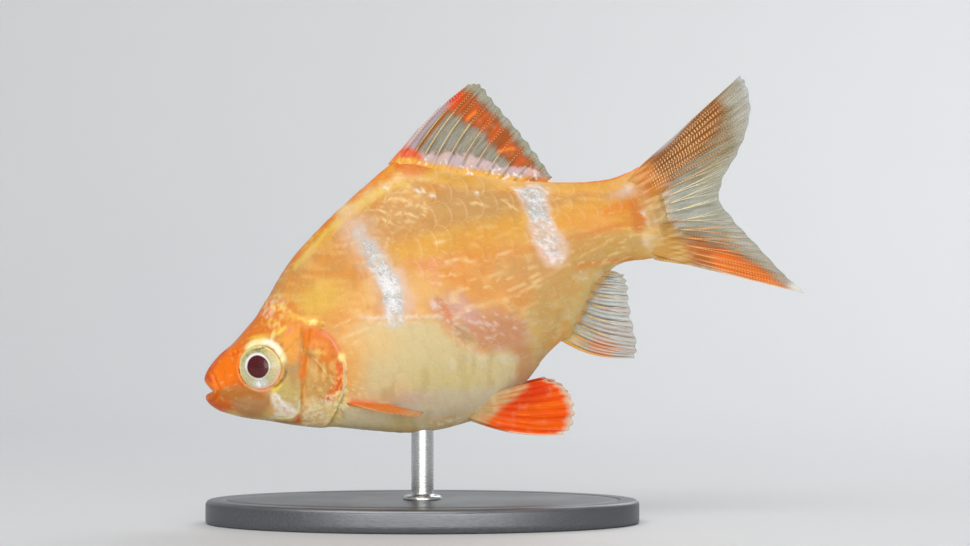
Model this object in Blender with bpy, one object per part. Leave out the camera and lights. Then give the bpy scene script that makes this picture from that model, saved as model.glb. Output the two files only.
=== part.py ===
"""Tiger barb of the golden (albino) form, life size, held over a small display stand.

Millimetres are used throughout and turned into metres when a mesh is made.
Body coordinates: s runs from the snout to the tail fin along the fish's long
axis, h runs up towards the back, y runs across (the fish's left side is -y).
The fish faces -X and noses down by PITCH.
"""

import math

import bmesh
import bpy
from mathutils import Vector

for old in list(bpy.data.objects):
    bpy.data.objects.remove(old, do_unlink=True)

MM = 0.001
GAP = 0.3  # clearance between neighbouring pieces

# ---------------------------------------------------------------- driving dimensions
STANDARD_LENGTH = 50.5  # snout to the base of the tail fin
PITCH = math.radians(19.9)
SNOUT_X, SNOUT_Z = -31.94, 15.04  # where s = 0, h = 0 sits
SWING_FROM, SWING_TIP = 24.0, 1.5  # the tail curls gently to the fish's right
TIP_S = 65.0

RINGS, AROUND = 40, 32  # body loft
AXIS_H = -0.9  # height about which the head's sections lean
LEAN, LEAN_LENGTH = 0.31, 9.0

EYE_S, EYE_H, EYE_R = 6.42, -0.65, 2.28
EYE_Y, EYE_DEPTH = 2.45, 1.62  # centre off the midplane, half depth

COVER_DEPTH, COVER_PROUD = 0.9, 0.12

BASE_X, BASE_HALF_X, BASE_HALF_Y, BASE_Z = -8.7, 23.0, 13.0, 2.5
BASE_CHAMFER = 0.5
ROD_R, ROD_FOOT, ROD_TOP = 1.2, 1.2, 12.6

# name, s, top of back, bottom of belly, half width, where it is widest
# (0 belly to 1 back), exponent at the back and at the belly (0.5 is round,
# more is sharper)
SECTIONS = [
    ("lips", -0.33, 0.30, -1.90, 1.45, 0.50, 0.50, 0.50),
    ("snout tip", 0.30, 1.15, -2.83, 1.85, 0.50, 0.50, 0.50),
    ("snout", 1.00, 1.62, -3.35, 2.15, 0.50, 0.50, 0.50),
    ("upper jaw", 2.00, 2.14, -4.06, 2.50, 0.52, 0.50, 0.50),
    ("nostril", 3.50, 2.64, -5.10, 2.95, 0.53, 0.50, 0.50),
    ("eye", 5.50, 3.56, -6.31, 3.50, 0.54, 0.50, 0.50),
    ("behind the eye", 7.50, 4.55, -7.65, 3.98, 0.52, 0.51, 0.50),
    ("cheek", 9.50, 6.15, -8.69, 4.38, 0.48, 0.53, 0.50),
    ("gill cover", 12.0, 8.32, -9.71, 4.72, 0.45, 0.56, 0.50),
    ("nape", 15.0, 10.12, -11.11, 4.98, 0.44, 0.60, 0.50),
    ("shoulder", 19.0, 12.06, -12.84, 5.22, 0.44, 0.63, 0.50),
    ("belly", 23.0, 13.72, -13.66, 5.20, 0.45, 0.66, 0.51),
    ("dorsal fin origin", 27.3, 15.05, -13.85, 4.86, 0.46, 0.68, 0.53),
    ("pelvic fins", 31.0, 13.11, -12.50, 4.26, 0.47, 0.66, 0.56),
    ("vent", 35.0, 10.94, -10.04, 3.52, 0.48, 0.63, 0.60),
    ("anal fin", 39.0, 8.78, -8.08, 2.76, 0.49, 0.60, 0.60),
    ("end of anal base", 43.0, 7.00, -4.44, 2.10, 0.50, 0.57, 0.56),
    ("tail stalk", 46.0, 5.98, -3.43, 1.70, 0.50, 0.54, 0.54),
    ("end of stalk", 48.5, 5.54, -3.93, 1.38, 0.50, 0.52, 0.52),
    ("tail fin base", 51.0, 5.67, -4.52, 1.02, 0.50, 0.50, 0.50),
]
FULLNESS = 2.1
S_FIRST, S_LAST = SECTIONS[0][1], SECTIONS[-1][1]


# ---------------------------------------------------------------- curves and surfaces
def hermite(x, xs, ys):
    """Smooth, monotone curve through (xs, ys)."""
    if x <= xs[0]:
        return ys[0]
    if x >= xs[-1]:
        return ys[-1]
    i = max(j for j in range(len(xs) - 1) if xs[j] <= x)

    def chord(j):
        return (ys[j + 1] - ys[j]) / (xs[j + 1] - xs[j])

    def slope(j):
        if j == 0:
            return chord(0)
        if j == len(xs) - 1:
            return chord(j - 1)
        a, b = chord(j - 1), chord(j)
        return 0.0 if a * b <= 0 else 2 * a * b / (a + b)

    w = xs[i + 1] - xs[i]
    t = (x - xs[i]) / w
    return (
        (2 * t**3 - 3 * t**2 + 1) * ys[i]
        + (t**3 - 2 * t**2 + t) * w * slope(i)
        + (3 * t**2 - 2 * t**3) * ys[i + 1]
        + (t**3 - t**2) * w * slope(i + 1)
    )


AT = [row[1] for row in SECTIONS]
COLUMN = [[row[c] for row in SECTIONS] for c in range(2, 8)]


def section(sigma):
    top, bottom, half, wide, back, belly = (hermite(sigma, AT, col) for col in COLUMN)
    return top, bottom, half, bottom + wide * (top - bottom), back, belly


def lean(sigma):
    t = min(max((sigma - S_FIRST) / LEAN_LENGTH, 0.0), 1.0)
    return LEAN * (1 - t * t * (3 - 2 * t))


def station_of(s, h):
    sigma = s
    for _ in range(20):
        sigma = s - lean(sigma) * (h - AXIS_H)
    return sigma


def half_width(s, h):
    """Half the body's width at a point of its side view."""
    top, bottom, half, mid, back, belly = section(station_of(s, h))
    c = (h - mid) / ((top if h > mid else bottom) - mid)
    c = min(abs(c), 1.0)
    return half * (1 - c**FULLNESS) ** (back if h > mid else belly)


def ring_point(sigma, turn, shrink=1.0, ahead=0.0):
    """Point of one body section, turn = 0 on the back, pi on the belly."""
    top, bottom, half, mid, back, belly = section(sigma)
    c, s_ = math.cos(turn), math.sin(turn)
    up = c > 0
    h = mid + ((top - mid) if up else (mid - bottom)) * c
    y = half * max(1 - abs(c) ** FULLNESS, 0.0) ** (back if up else belly)
    centre = (top + bottom) / 2
    h = centre + (h - centre) * shrink
    return sigma + lean(sigma) * (h - AXIS_H) + ahead, math.copysign(y * shrink, s_), h


def swing(s):
    t = max(0.0, s - SWING_FROM) / (TIP_S - SWING_FROM)
    return SWING_TIP * t * t


def place(s, y, h):
    """Body coordinates in millimetres to world coordinates in metres."""
    return Vector(
        (
            SNOUT_X + s * math.cos(PITCH) - h * math.sin(PITCH),
            y + swing(s),
            SNOUT_Z + s * math.sin(PITCH) + h * math.cos(PITCH),
        )
    ) * MM


def catmull(points, t):
    """Smooth curve through a few named points, t from 0 to 1."""
    n = len(points) - 1
    x = min(max(t, 0.0), 1.0) * n
    i = min(int(x), n - 1)
    f = x - i
    p = [Vector(points[min(max(i + k, 0), n)]) for k in (-1, 0, 1, 2)]
    if i == 0:
        p[0] = 2 * p[1] - p[2]
    if i == n - 1:
        p[3] = 2 * p[2] - p[1]
    return 0.5 * (
        2 * p[1]
        + (p[2] - p[0]) * f
        + (2 * p[0] - 5 * p[1] + 4 * p[2] - p[3]) * f**2
        + (3 * p[1] - p[0] - 3 * p[2] + p[3]) * f**3
    )


# ---------------------------------------------------------------- materials
def material(name, colour, roughness, metallic=0.0):
    m = bpy.data.materials.new(name)
    m.use_nodes = True
    shader = m.node_tree.nodes["Principled BSDF"]
    shader.inputs["Base Color"].default_value = (*colour, 1.0)
    shader.inputs["Roughness"].default_value = roughness
    shader.inputs["Metallic"].default_value = metallic
    m.diffuse_color = (*colour, 1.0)
    return m


GOLD = material("golden_skin", (0.84, 0.45, 0.13), 0.32)
CHEEK = material("orange_head_skin", (0.82, 0.30, 0.07), 0.30)
COVER = material("gill_cover_skin", (0.85, 0.42, 0.16), 0.28)
IRIS = material("pale_iris", (0.78, 0.74, 0.62), 0.12)
FIN = material("clear_orange_fin", (0.80, 0.36, 0.12), 0.40)
RED_FIN = material("orange_red_fin", (0.83, 0.17, 0.03), 0.40)
BASE = material("satin_grey_base", (0.20, 0.21, 0.22), 0.38, 0.8)
ROD = material("steel_rod", (0.62, 0.62, 0.63), 0.25, 1.0)


# ---------------------------------------------------------------- mesh helpers
def new_object(name, bm, mat, cutter=False, sharp=35.0):
    bmesh.ops.recalc_face_normals(bm, faces=bm.faces)
    if bm.calc_volume(signed=True) < 0:
        bmesh.ops.reverse_faces(bm, faces=bm.faces)
    mesh = bpy.data.meshes.new(name)
    bm.to_mesh(mesh)
    bm.free()
    mesh.shade_smooth()
    mesh.set_sharp_from_angle(angle=math.radians(sharp))
    obj = bpy.data.objects.new(name, mesh)
    bpy.context.scene.collection.objects.link(obj)
    if cutter:
        obj.hide_render = True
        obj.display_type = "WIRE"
    else:
        mesh.materials.append(mat)
    return obj


def boolean(obj, cutter, operation):
    m = obj.modifiers.new(operation.lower() + "_" + cutter.name, "BOOLEAN")
    m.object = cutter
    m.operation = operation
    m.solver = "EXACT"


def body_mesh(grow=0.0):
    """The whole body as one closed loft, from the lips to the tail fin base."""
    bm = bmesh.new()
    loops = []
    turns = [2 * math.pi * (k + 0.5) / AROUND for k in range(AROUND)]
    caps_front = [(0.40, -0.15), (0.78, -0.10)]
    caps_rear = [(0.86, 0.70), (0.55, 1.15)]

    def loop(sigma, shrink=1.0, ahead=0.0):
        return [bm.verts.new(ring_point(sigma, t, shrink, ahead)) for t in turns]

    for shrink, ahead in caps_front:
        loops.append(loop(S_FIRST, shrink, ahead))
    for i in range(RINGS):
        t = i / (RINGS - 1)
        loops.append(loop(S_FIRST + (S_LAST - S_FIRST) * t**1.35))
    for shrink, ahead in caps_rear:
        loops.append(loop(S_LAST, shrink, ahead))
    for a, b in zip(loops, loops[1:]):
        for k in range(AROUND):
            j = (k + 1) % AROUND
            bm.faces.new((a[k], a[j], b[j], b[k]))
    for ring in (loops[0], loops[-1]):
        bm.faces.new(ring)
    bmesh.ops.triangulate(bm, faces=[f for f in bm.faces if len(f.verts) > 4])
    bmesh.ops.recalc_face_normals(bm, faces=bm.faces)
    if grow:
        bm.normal_update()
        moves = [(v, v.normal.copy()) for v in bm.verts]
        for v, n in moves:
            v.co += n * grow
    for v in bm.verts:
        v.co = place(*v.co)
    return bm


def prism(name, outline, y0=-9.0, y1=9.0):
    """A cutter: an outline of the side view, carried right across the body."""
    bm = bmesh.new()
    rings = [[bm.verts.new(place(s, y, h)) for s, h in outline] for y in (y0, y1)]
    n = len(outline)
    for k in range(n):
        j = (k + 1) % n
        bm.faces.new((rings[0][k], rings[0][j], rings[1][j], rings[1][k]))
    for ring in rings:
        bm.faces.new(ring)
    return new_object(name, bm, None, cutter=True)


def shell_patch(bm, grid_outer, grid_inner):
    """A closed plate between two grids of points with the same size."""
    rows, cols = len(grid_outer), len(grid_outer[0])
    outer = [[bm.verts.new(p) for p in row] for row in grid_outer]
    inner = [[bm.verts.new(p) for p in row] for row in grid_inner]
    for grid, flip in ((outer, False), (inner, True)):
        for i in range(rows - 1):
            for j in range(cols - 1):
                f = (grid[i][j], grid[i][j + 1], grid[i + 1][j + 1], grid[i + 1][j])
                bm.faces.new(f[::-1] if flip else f)
    edge = (
        [(0, j) for j in range(cols)]
        + [(i, cols - 1) for i in range(1, rows)]
        + [(rows - 1, j) for j in range(cols - 2, -1, -1)]
        + [(i, 0) for i in range(rows - 2, 0, -1)]
    )
    for k, (i, j) in enumerate(edge):
        a, b = edge[(k + 1) % len(edge)]
        bm.faces.new((outer[a][b], outer[i][j], inner[i][j], inner[a][b]))


# ---------------------------------------------------------------- head, trunk and tail
def gill_line(h):
    """The rear rim of the gill cover, carried on to the nape and the throat."""
    return 14.6 - (0.020 if h > -2.2 else 0.072) * (h + 2.2) ** 2


def vent_line(h):
    return 36.35 + 0.02 * h


HEIGHTS = [-19 + 38 * k / 24 for k in range(25)]
FAR = 12.0
head_zone = prism(
    "cut_head_zone",
    [(-FAR, -19), *[(gill_line(h), h) for h in HEIGHTS if -13 < h < 13], (-FAR, 19)],
)
trunk_zone = prism(
    "cut_trunk_zone",
    [(gill_line(h) + GAP, h) for h in HEIGHTS if -13 < h < 13][::-1]
    + [(8.0, -19.0)]
    + [(vent_line(h), h) for h in (-19.0, 19.0)]
    + [(10.0, 19.0)],
)
tail_zone = prism(
    "cut_tail_zone",
    [(vent_line(-19) + GAP, -19.0), (60.0, -19.0), (60.0, 19.0), (vent_line(19) + GAP, 19.0)],
)

# the mouth and the lower jaw: from the lip to the jaw joint under the eye
JAW = [(-2.0, -1.55), (0.68, -1.52), (2.30, -2.75), (4.10, -3.80), (5.00, -9.5), (-2.0, -9.5)]
JAW_ROOM = [(-2.2, -0.05), (0.08, -0.12), (0.80, -1.22), (2.47, -2.46), (4.40, -3.62), (5.36, -9.8), (-2.2, -9.8)]
jaw_zone = prism("cut_jaw_zone", JAW)
jaw_room = prism("cut_jaw_room", JAW_ROOM)

head = new_object("head", body_mesh(), CHEEK)
boolean(head, head_zone, "INTERSECT")
boolean(head, jaw_room, "DIFFERENCE")
lower_jaw = new_object("lower_jaw", body_mesh(), CHEEK)
boolean(lower_jaw, jaw_zone, "INTERSECT")
trunk = new_object("trunk", body_mesh(), GOLD)
boolean(trunk, trunk_zone, "INTERSECT")
tail = new_object("tail", body_mesh(), GOLD)
boolean(tail, tail_zone, "INTERSECT")


# gill covers: thick plates let into the side of the head
COVER_TOP, COVER_BOTTOM = 1.75, -8.1


def cover_front(h):
    return 10.85 + 0.30 * (h - 0.0)


def cover_grid(side, offset, spread, rear):
    rows, cols = 14, 7
    grid = []
    mid_h, half_h = (COVER_TOP + COVER_BOTTOM) / 2, (COVER_TOP - COVER_BOTTOM) / 2 + spread
    for i in range(rows):
        v = math.sin(math.pi * (i / (rows - 1) - 0.5)) * 0.995
        h = mid_h + half_h * v
        a, b = cover_front(h) - spread, gill_line(h) + rear
        pinch = (1 - abs(v) ** 5) ** 0.5
        row = []
        for j in range(cols):
            u = 2 * j / (cols - 1) - 1
            s = (a + b) / 2 + (b - a) / 2 * u * pinch
            row.append(place(s, side * max(half_width(s, h) + offset, 0.6), h))
        grid.append(row)
    return grid


def add_cover(label, side):
    bm = bmesh.new()
    shell_patch(bm, cover_grid(side, COVER_PROUD, 0, 0), cover_grid(side, -COVER_DEPTH, 0, 0))
    new_object("gill_cover_" + label, bm, COVER)
    bm = bmesh.new()
    shell_patch(bm, cover_grid(side, 2.5, GAP, 0.6), cover_grid(side, -COVER_DEPTH - GAP, GAP, 0.6))
    boolean(head, new_object("cut_gill_recess_" + label, bm, None, cutter=True), "DIFFERENCE")


add_cover("left", -1)
add_cover("right", 1)


# eyes: flattened globes that stand a little proud of their sockets
def globe(name, side, extra, mat, cutter=False):
    bm = bmesh.new()
    bmesh.ops.create_uvsphere(bm, u_segments=18, v_segments=9, radius=1.0)
    for v in bm.verts:
        x, yy, z = v.co  # the globe's poles look out sideways
        v.co = place(
            EYE_S + x * (EYE_R + extra),
            side * EYE_Y + z * (EYE_DEPTH + extra),
            EYE_H + yy * (EYE_R + extra),
        )
    return new_object(name, bm, mat, cutter=cutter)


for label, side in (("left", -1), ("right", 1)):
    globe("eye_" + label, side, 0.0, IRIS)
    boolean(head, globe("cut_eye_socket_" + label, side, GAP, None, cutter=True), "DIFFERENCE")


# ---------------------------------------------------------------- fins
grown_body = new_object("cut_fin_roots", body_mesh(GAP), None, cutter=True)


def fin(name, mat, rays, root, edge, steps, thick, to_body, bow=(0.0, 0.0), notch=0.25):
    """A fin as one plate with a ridge along each ray and a notch between ray tips.

    root and edge are short lists of points that the ray roots and ray tips
    follow; thick is the plate's thickness at the root and at the edge; bow is
    how far the first and the last ray arch; to_body turns (along, across,
    thickness) into body coordinates.
    """
    cols = 2 * (rays - 1) + 1
    sides = []
    for sign in (1, -1):
        grid = []
        for i in range(steps + 1):
            v = i / steps
            row = []
            for k in range(cols):
                u = k / (cols - 1)
                on_ray = k % 2 == 0
                a, b = catmull(root, u), catmull(edge, u)
                reach = v * (1.0 if on_ray or k in (0, cols - 1) else 1 - notch / (b - a).length)
                p = a.lerp(b, reach)
                across = Vector((-(b - a).y, (b - a).x)).normalized()
                p += across * (bow[0] + (bow[1] - bow[0]) * u) * math.sin(math.pi * v)
                half = (thick[0] + (thick[1] - thick[0]) * v) / 2
                half *= 1.0 if on_ray else 0.82
                row.append(place(*to_body(p.x, p.y, sign * half)))
            grid.append(row)
        sides.append(grid)
    bm = bmesh.new()
    shell_patch(bm, *sides)
    obj = new_object(name, bm, mat, sharp=50.0)
    boolean(obj, grown_body, "DIFFERENCE")
    return obj


def upright(s, h, t):
    return s, t, h


# dorsal fin: a stout serrated front ray, then branched rays over a low sheath
DORSAL_ROOT = [(26.5, 14.3), (30.6, 12.2), (35.2, 9.5), (39.7, 6.9)]
DORSAL_EDGE = [(37.2, 20.05), (38.35, 19.55), (39.10, 17.3), (40.30, 14.1), (41.35, 10.9), (42.15, 7.75)]
fin("dorsal_fin", FIN, 12, DORSAL_ROOT, DORSAL_EDGE, 5, (1.10, 0.56), upright, bow=(0.62, 0.0), notch=0.18)

# tail fin: two lobes parted along the fork
UPPER_ROOT = [(49.4, 5.0), (49.2, 3.6), (49.2, 2.0), (49.2, 0.55)]
UPPER_EDGE = [(64.75, 11.05), (64.75, 8.9), (63.60, 5.8), (61.60, 3.35), (59.35, 1.55), (58.02, -0.32)]
LOWER_ROOT = [(49.2, 0.15), (49.2, -1.2), (49.2, -2.6), (49.3, -4.0)]
LOWER_EDGE = [(58.02, -0.80), (59.05, -3.7), (60.40, -6.8), (61.70, -9.9), (62.75, -12.0), (63.15, -13.0)]
fin("caudal_fin_upper", FIN, 11, UPPER_ROOT, UPPER_EDGE, 5, (1.05, 0.55), upright)
fin("caudal_fin_lower", RED_FIN, 10, LOWER_ROOT, LOWER_EDGE, 5, (1.05, 0.55), upright)

# anal fin
ANAL_ROOT = [(36.8, -8.3), (39.0, -6.2), (41.2, -4.5), (43.2, -3.2)]
ANAL_EDGE = [(43.85, -13.30), (44.55, -12.2), (44.95, -9.6), (45.40, -7.3), (45.85, -5.7), (45.80, -4.6)]
fin("anal_fin", FIN, 9, ANAL_ROOT, ANAL_EDGE, 4, (1.00, 0.55), upright, bow=(-0.75, 0.2), notch=0.35)

# pelvic fins: a pair under the belly that spreads a little to each side
PELVIC_ROOT = [(25.1, -13.3), (26.0, -12.7), (26.9, -12.1), (27.7, -11.6)]
PELVIC_EDGE = [(33.9, -18.1), (35.1, -17.6), (35.9, -16.2), (36.1, -14.6), (35.5, -13.1), (34.2, -12.05)]


def pelvic_side(side):
    def to_body(s, h, t):
        out = 1.35 + 0.30 * (s - 26.0)
        return s, side * out + t, h

    return to_body


# pectoral fins: low on the side, held out nearly flat, their outer ends a little lower
PECTORAL_AT = (15.1, -7.9)
PECTORAL_ROOT = [(-1.3, -0.85), (-1.3, -0.25), (-1.3, 0.35), (-1.3, 0.95)]
PECTORAL_EDGE = [(6.8, -1.75), (7.6, -0.85), (7.9, 0.4), (7.6, 1.65), (6.7, 2.75), (5.4, 3.5)]


def pectoral_side(side):
    sweep = math.radians(47.0)  # away from the flank
    drop = math.radians(23.9)  # in the side view, the fin trails level with the ground

    def to_body(a, b, t):
        along = a * math.cos(sweep) + b * math.sin(sweep)
        out = a * math.sin(sweep) - b * math.cos(sweep)
        s = PECTORAL_AT[0] + along * math.cos(drop) + t * math.sin(drop)
        h = PECTORAL_AT[1] - along * math.sin(drop) + t * math.cos(drop) - 0.10 * out
        return s, side * (half_width(*PECTORAL_AT) + out), h

    return to_body


for label, side in (("left", -1), ("right", 1)):
    fin("pelvic_fin_" + label, RED_FIN, 8, PELVIC_ROOT, PELVIC_EDGE, 4, (0.95, 0.55), pelvic_side(side), bow=(-0.62, 0.1), notch=0.3)
    fin("pectoral_fin_" + label, FIN, 8, PECTORAL_ROOT, PECTORAL_EDGE, 4, (0.80, 0.55), pectoral_side(side), notch=0.2)


# ---------------------------------------------------------------- display stand
def turned(name, profile, x, mat, half=(1.0, 1.0), segments=32, cutter=False):
    """A closed turned piece; profile lists (radius, z) from the bottom up."""
    bm = bmesh.new()
    loops = []
    for r, z in profile:
        loops.append(
            [
                bm.verts.new(
                    Vector(
                        (
                            x + (half[0] + r) * math.cos(2 * math.pi * k / segments),
                            (half[1] + r) * math.sin(2 * math.pi * k / segments),
                            z,
                        )
                    )
                    * MM
                )
                for k in range(segments)
            ]
        )
    for a, b in zip(loops, loops[1:]):
        for k in range(segments):
            j = (k + 1) % segments
            bm.faces.new((a[k], a[j], b[j], b[k]))
    bm.faces.new(loops[0][::-1])
    bm.faces.new(loops[-1])
    return new_object(name, bm, mat, cutter=cutter)


base = turned(
    "stand_base",
    [(-BASE_CHAMFER / 2, 0.0), (0.0, BASE_CHAMFER / 2), (0.0, BASE_Z - BASE_CHAMFER), (-BASE_CHAMFER, BASE_Z)],
    BASE_X,
    BASE,
    half=(BASE_HALF_X, BASE_HALF_Y),
    segments=48,
)
rod = turned(
    "stand_rod",
    [(0.0, ROD_FOOT), (0.0, ROD_TOP - 0.4), (-0.4, ROD_TOP)],
    BASE_X,
    ROD,
    half=(ROD_R, ROD_R),
    segments=24,
)
socket = turned(
    "cut_rod_socket",
    [(GAP, ROD_FOOT - GAP), (GAP, ROD_TOP + GAP)],
    BASE_X,
    None,
    half=(ROD_R, ROD_R),
    segments=24,
    cutter=True,
)
boolean(base, socket, "DIFFERENCE")
boolean(trunk, socket, "DIFFERENCE")
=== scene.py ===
"""Looks of the golden (albino) tiger barb model on its display stand.

Body coordinates, in millimetres: s runs from the snout to the tail fin along
the fish's long axis, h runs up towards the back, y runs across (the fish's
left side, nearest the camera, is -y). place() turns them into world metres.
"""

import math

import bpy
import numpy as np
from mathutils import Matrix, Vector


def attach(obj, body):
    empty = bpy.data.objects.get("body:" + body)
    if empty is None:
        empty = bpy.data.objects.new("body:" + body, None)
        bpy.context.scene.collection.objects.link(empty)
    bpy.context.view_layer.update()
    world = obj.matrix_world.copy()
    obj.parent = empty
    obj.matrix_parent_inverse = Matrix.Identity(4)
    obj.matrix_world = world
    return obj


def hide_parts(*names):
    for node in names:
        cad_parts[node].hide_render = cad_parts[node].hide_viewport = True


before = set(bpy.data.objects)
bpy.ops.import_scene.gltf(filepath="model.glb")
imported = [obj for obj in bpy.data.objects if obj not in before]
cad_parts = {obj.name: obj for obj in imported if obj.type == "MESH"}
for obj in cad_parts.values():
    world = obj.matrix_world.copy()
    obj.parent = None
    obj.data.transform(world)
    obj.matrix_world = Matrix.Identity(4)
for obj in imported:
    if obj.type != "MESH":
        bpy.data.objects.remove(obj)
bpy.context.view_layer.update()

MM = 0.001
rng = np.random.default_rng(7)

# =========================================================== body shape
PITCH = math.radians(19.9)
COS_P, SIN_P = math.cos(PITCH), math.sin(PITCH)
SNOUT_X, SNOUT_Z = -31.94, 15.04
SWING_FROM, SWING_TIP, TIP_S = 24.0, 1.5, 65.0
AXIS_H = -0.9
LEAN, LEAN_LENGTH = 0.31, 9.0
FULLNESS = 2.1

EYE_S, EYE_H, EYE_R = 6.42, -0.65, 2.28

SECTIONS = np.array([
    # s, top, bottom, half width, widest, back exponent, belly exponent
    (-0.33, 0.30, -1.90, 1.45, 0.50, 0.50, 0.50),
    (0.30, 1.15, -2.83, 1.85, 0.50, 0.50, 0.50),
    (1.00, 1.62, -3.35, 2.15, 0.50, 0.50, 0.50),
    (2.00, 2.14, -4.06, 2.50, 0.52, 0.50, 0.50),
    (3.50, 2.64, -5.10, 2.95, 0.53, 0.50, 0.50),
    (5.50, 3.56, -6.31, 3.50, 0.54, 0.50, 0.50),
    (7.50, 4.55, -7.65, 3.98, 0.52, 0.51, 0.50),
    (9.50, 6.15, -8.69, 4.38, 0.48, 0.53, 0.50),
    (12.0, 8.32, -9.71, 4.72, 0.45, 0.56, 0.50),
    (15.0, 10.12, -11.11, 4.98, 0.44, 0.60, 0.50),
    (19.0, 12.06, -12.84, 5.22, 0.44, 0.63, 0.50),
    (23.0, 13.72, -13.66, 5.20, 0.45, 0.66, 0.51),
    (27.3, 15.05, -13.85, 4.86, 0.46, 0.68, 0.53),
    (31.0, 13.11, -12.50, 4.26, 0.47, 0.66, 0.56),
    (35.0, 10.94, -10.04, 3.52, 0.48, 0.63, 0.60),
    (39.0, 8.78, -8.08, 2.76, 0.49, 0.60, 0.60),
    (43.0, 7.00, -4.44, 2.10, 0.50, 0.57, 0.56),
    (46.0, 5.98, -3.43, 1.70, 0.50, 0.54, 0.54),
    (48.5, 5.54, -3.93, 1.38, 0.50, 0.52, 0.52),
    (51.0, 5.67, -4.52, 1.02, 0.50, 0.50, 0.50),
])
S_FIRST, S_LAST = SECTIONS[0, 0], SECTIONS[-1, 0]


def hermite(x, xs, ys):
    """Smooth, monotone curve through (xs, ys), for an array of x."""
    x = np.clip(np.asarray(x, float), xs[0], xs[-1])
    chord = np.diff(ys) / np.diff(xs)
    a, b = chord[:-1], chord[1:]
    same = a * b > 0
    slope = np.empty(len(xs))
    slope[0], slope[-1] = chord[0], chord[-1]
    slope[1:-1] = np.where(same, 2 * a * b / np.where(same, a + b, 1.0), 0.0)
    i = np.clip(np.searchsorted(xs, x, side="right") - 1, 0, len(xs) - 2)
    w = xs[i + 1] - xs[i]
    t = (x - xs[i]) / w
    return (
        (2 * t**3 - 3 * t**2 + 1) * ys[i]
        + (t**3 - 2 * t**2 + t) * w * slope[i]
        + (3 * t**2 - 2 * t**3) * ys[i + 1]
        + (t**3 - t**2) * w * slope[i + 1]
    )


def section(sigma):
    top, bottom, half, wide, back, belly = (hermite(sigma, SECTIONS[:, 0], SECTIONS[:, c]) for c in range(1, 7))
    return top, bottom, half, bottom + wide * (top - bottom), back, belly


def lean(sigma):
    t = np.clip((sigma - S_FIRST) / LEAN_LENGTH, 0.0, 1.0)
    return LEAN * (1 - t * t * (3 - 2 * t))


def station_of(s, h):
    s, h = np.broadcast_arrays(np.asarray(s, float), np.asarray(h, float))
    sigma = s
    for _ in range(12):
        sigma = s - lean(sigma) * (h - AXIS_H)
    return sigma


def half_width(s, h):
    top, bottom, half, mid, back, belly = section(station_of(s, h))
    up = h > mid
    c = np.clip(np.abs((h - mid) / (np.where(up, top, bottom) - mid)), 0, 1)
    return half * (1 - c**FULLNESS) ** np.where(up, back, belly)


def ring_point(sigma, turn):
    """Points of body sections: turn = 0 on the back, pi on the belly."""
    top, bottom, half, mid, back, belly = section(sigma)
    c, s_ = np.cos(turn), np.sin(turn)
    up = c > 0
    h = mid + np.where(up, top - mid, mid - bottom) * c
    y = half * np.maximum(1 - np.abs(c) ** FULLNESS, 0.0) ** np.where(up, back, belly)
    return np.stack([sigma + lean(sigma) * (h - AXIS_H), np.copysign(y, s_), h], -1)


def swing(s):
    t = np.maximum(0.0, np.asarray(s, float) - SWING_FROM) / (TIP_S - SWING_FROM)
    return SWING_TIP * t * t


def place(p):
    """Body coordinates (..., 3) as (s, y, h) in mm to world metres."""
    p = np.asarray(p, float)
    s, y, h = p[..., 0], p[..., 1], p[..., 2]
    return MM * np.stack(
        [SNOUT_X + s * COS_P - h * SIN_P, y + swing(s), SNOUT_Z + s * SIN_P + h * COS_P], -1
    )


def px_to_body(px, py, depth=None):
    """A place in the side view, given in the reference frame's pixels, as (s, h)."""
    scale, near = 0.10611, 285.9

    def at(w):
        k = scale * (near - w) / near
        x, z = -2.07 + (px - 485.0) * k, 26.5 - (py - 273.0) * k
        dx, dz = x - SNOUT_X, z - SNOUT_Z
        return dx * COS_P + dz * SIN_P, -dx * SIN_P + dz * COS_P

    w = 4.0 if depth is None else depth
    s, h = at(w)
    if depth is None:
        for _ in range(3):
            w = float(half_width(s, h))
            s, h = at(w)
    return s, h


def catmull(points, t):
    """Smooth curve through points (n, d) at parameters t in 0..1."""
    points = np.asarray(points, float)
    n = len(points) - 1
    x = np.clip(np.asarray(t, float), 0, 1) * n
    i = np.minimum(x.astype(int), n - 1)
    f = (x - i)[..., None]
    ext = np.vstack([2 * points[0] - points[1], points, 2 * points[-1] - points[-2]])
    p0, p1, p2, p3 = ext[i], ext[i + 1], ext[i + 2], ext[i + 3]
    return 0.5 * (2 * p1 + (p2 - p0) * f + (2 * p0 - 5 * p1 + 4 * p2 - p3) * f**2 + (3 * p1 - p0 - 3 * p2 + p3) * f**3)


def smooth(lo, hi, x):
    t = np.clip((np.asarray(x, float) - lo) / (hi - lo), 0.0, 1.0)
    return t * t * (3 - 2 * t)


def bump_at(x, width):
    """1 at x = 0, falling to 0 at about 2 widths."""
    return np.exp(-((x / width) ** 2))


# ------------------------------------------------ seeded value noise
_table = rng.random((64, 64, 64)).astype(np.float32)


def noise(p, scale, seed=0):
    """Smooth noise in 0..1 at points (..., 3), scale in mm."""
    q = np.asarray(p, float) / scale + 17.3 * (seed + 1)
    i = np.floor(q).astype(int)
    f = q - i
    f = f * f * (3 - 2 * f)
    out = 0.0
    for dx in (0, 1):
        for dy in (0, 1):
            for dz in (0, 1):
                w = (f[..., 0] if dx else 1 - f[..., 0]) * (f[..., 1] if dy else 1 - f[..., 1]) * (f[..., 2] if dz else 1 - f[..., 2])
                out = out + w * _table[(i[..., 0] + dx) & 63, (i[..., 1] + dy) & 63, (i[..., 2] + dz) & 63]
    return out


def fractal(p, scale, seed=0, octaves=3):
    out, total, a = 0.0, 0.0, 1.0
    for k in range(octaves):
        out = out + a * noise(p, scale / 2**k, seed + 5 * k)
        total += a
        a *= 0.55
    return out / total


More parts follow.
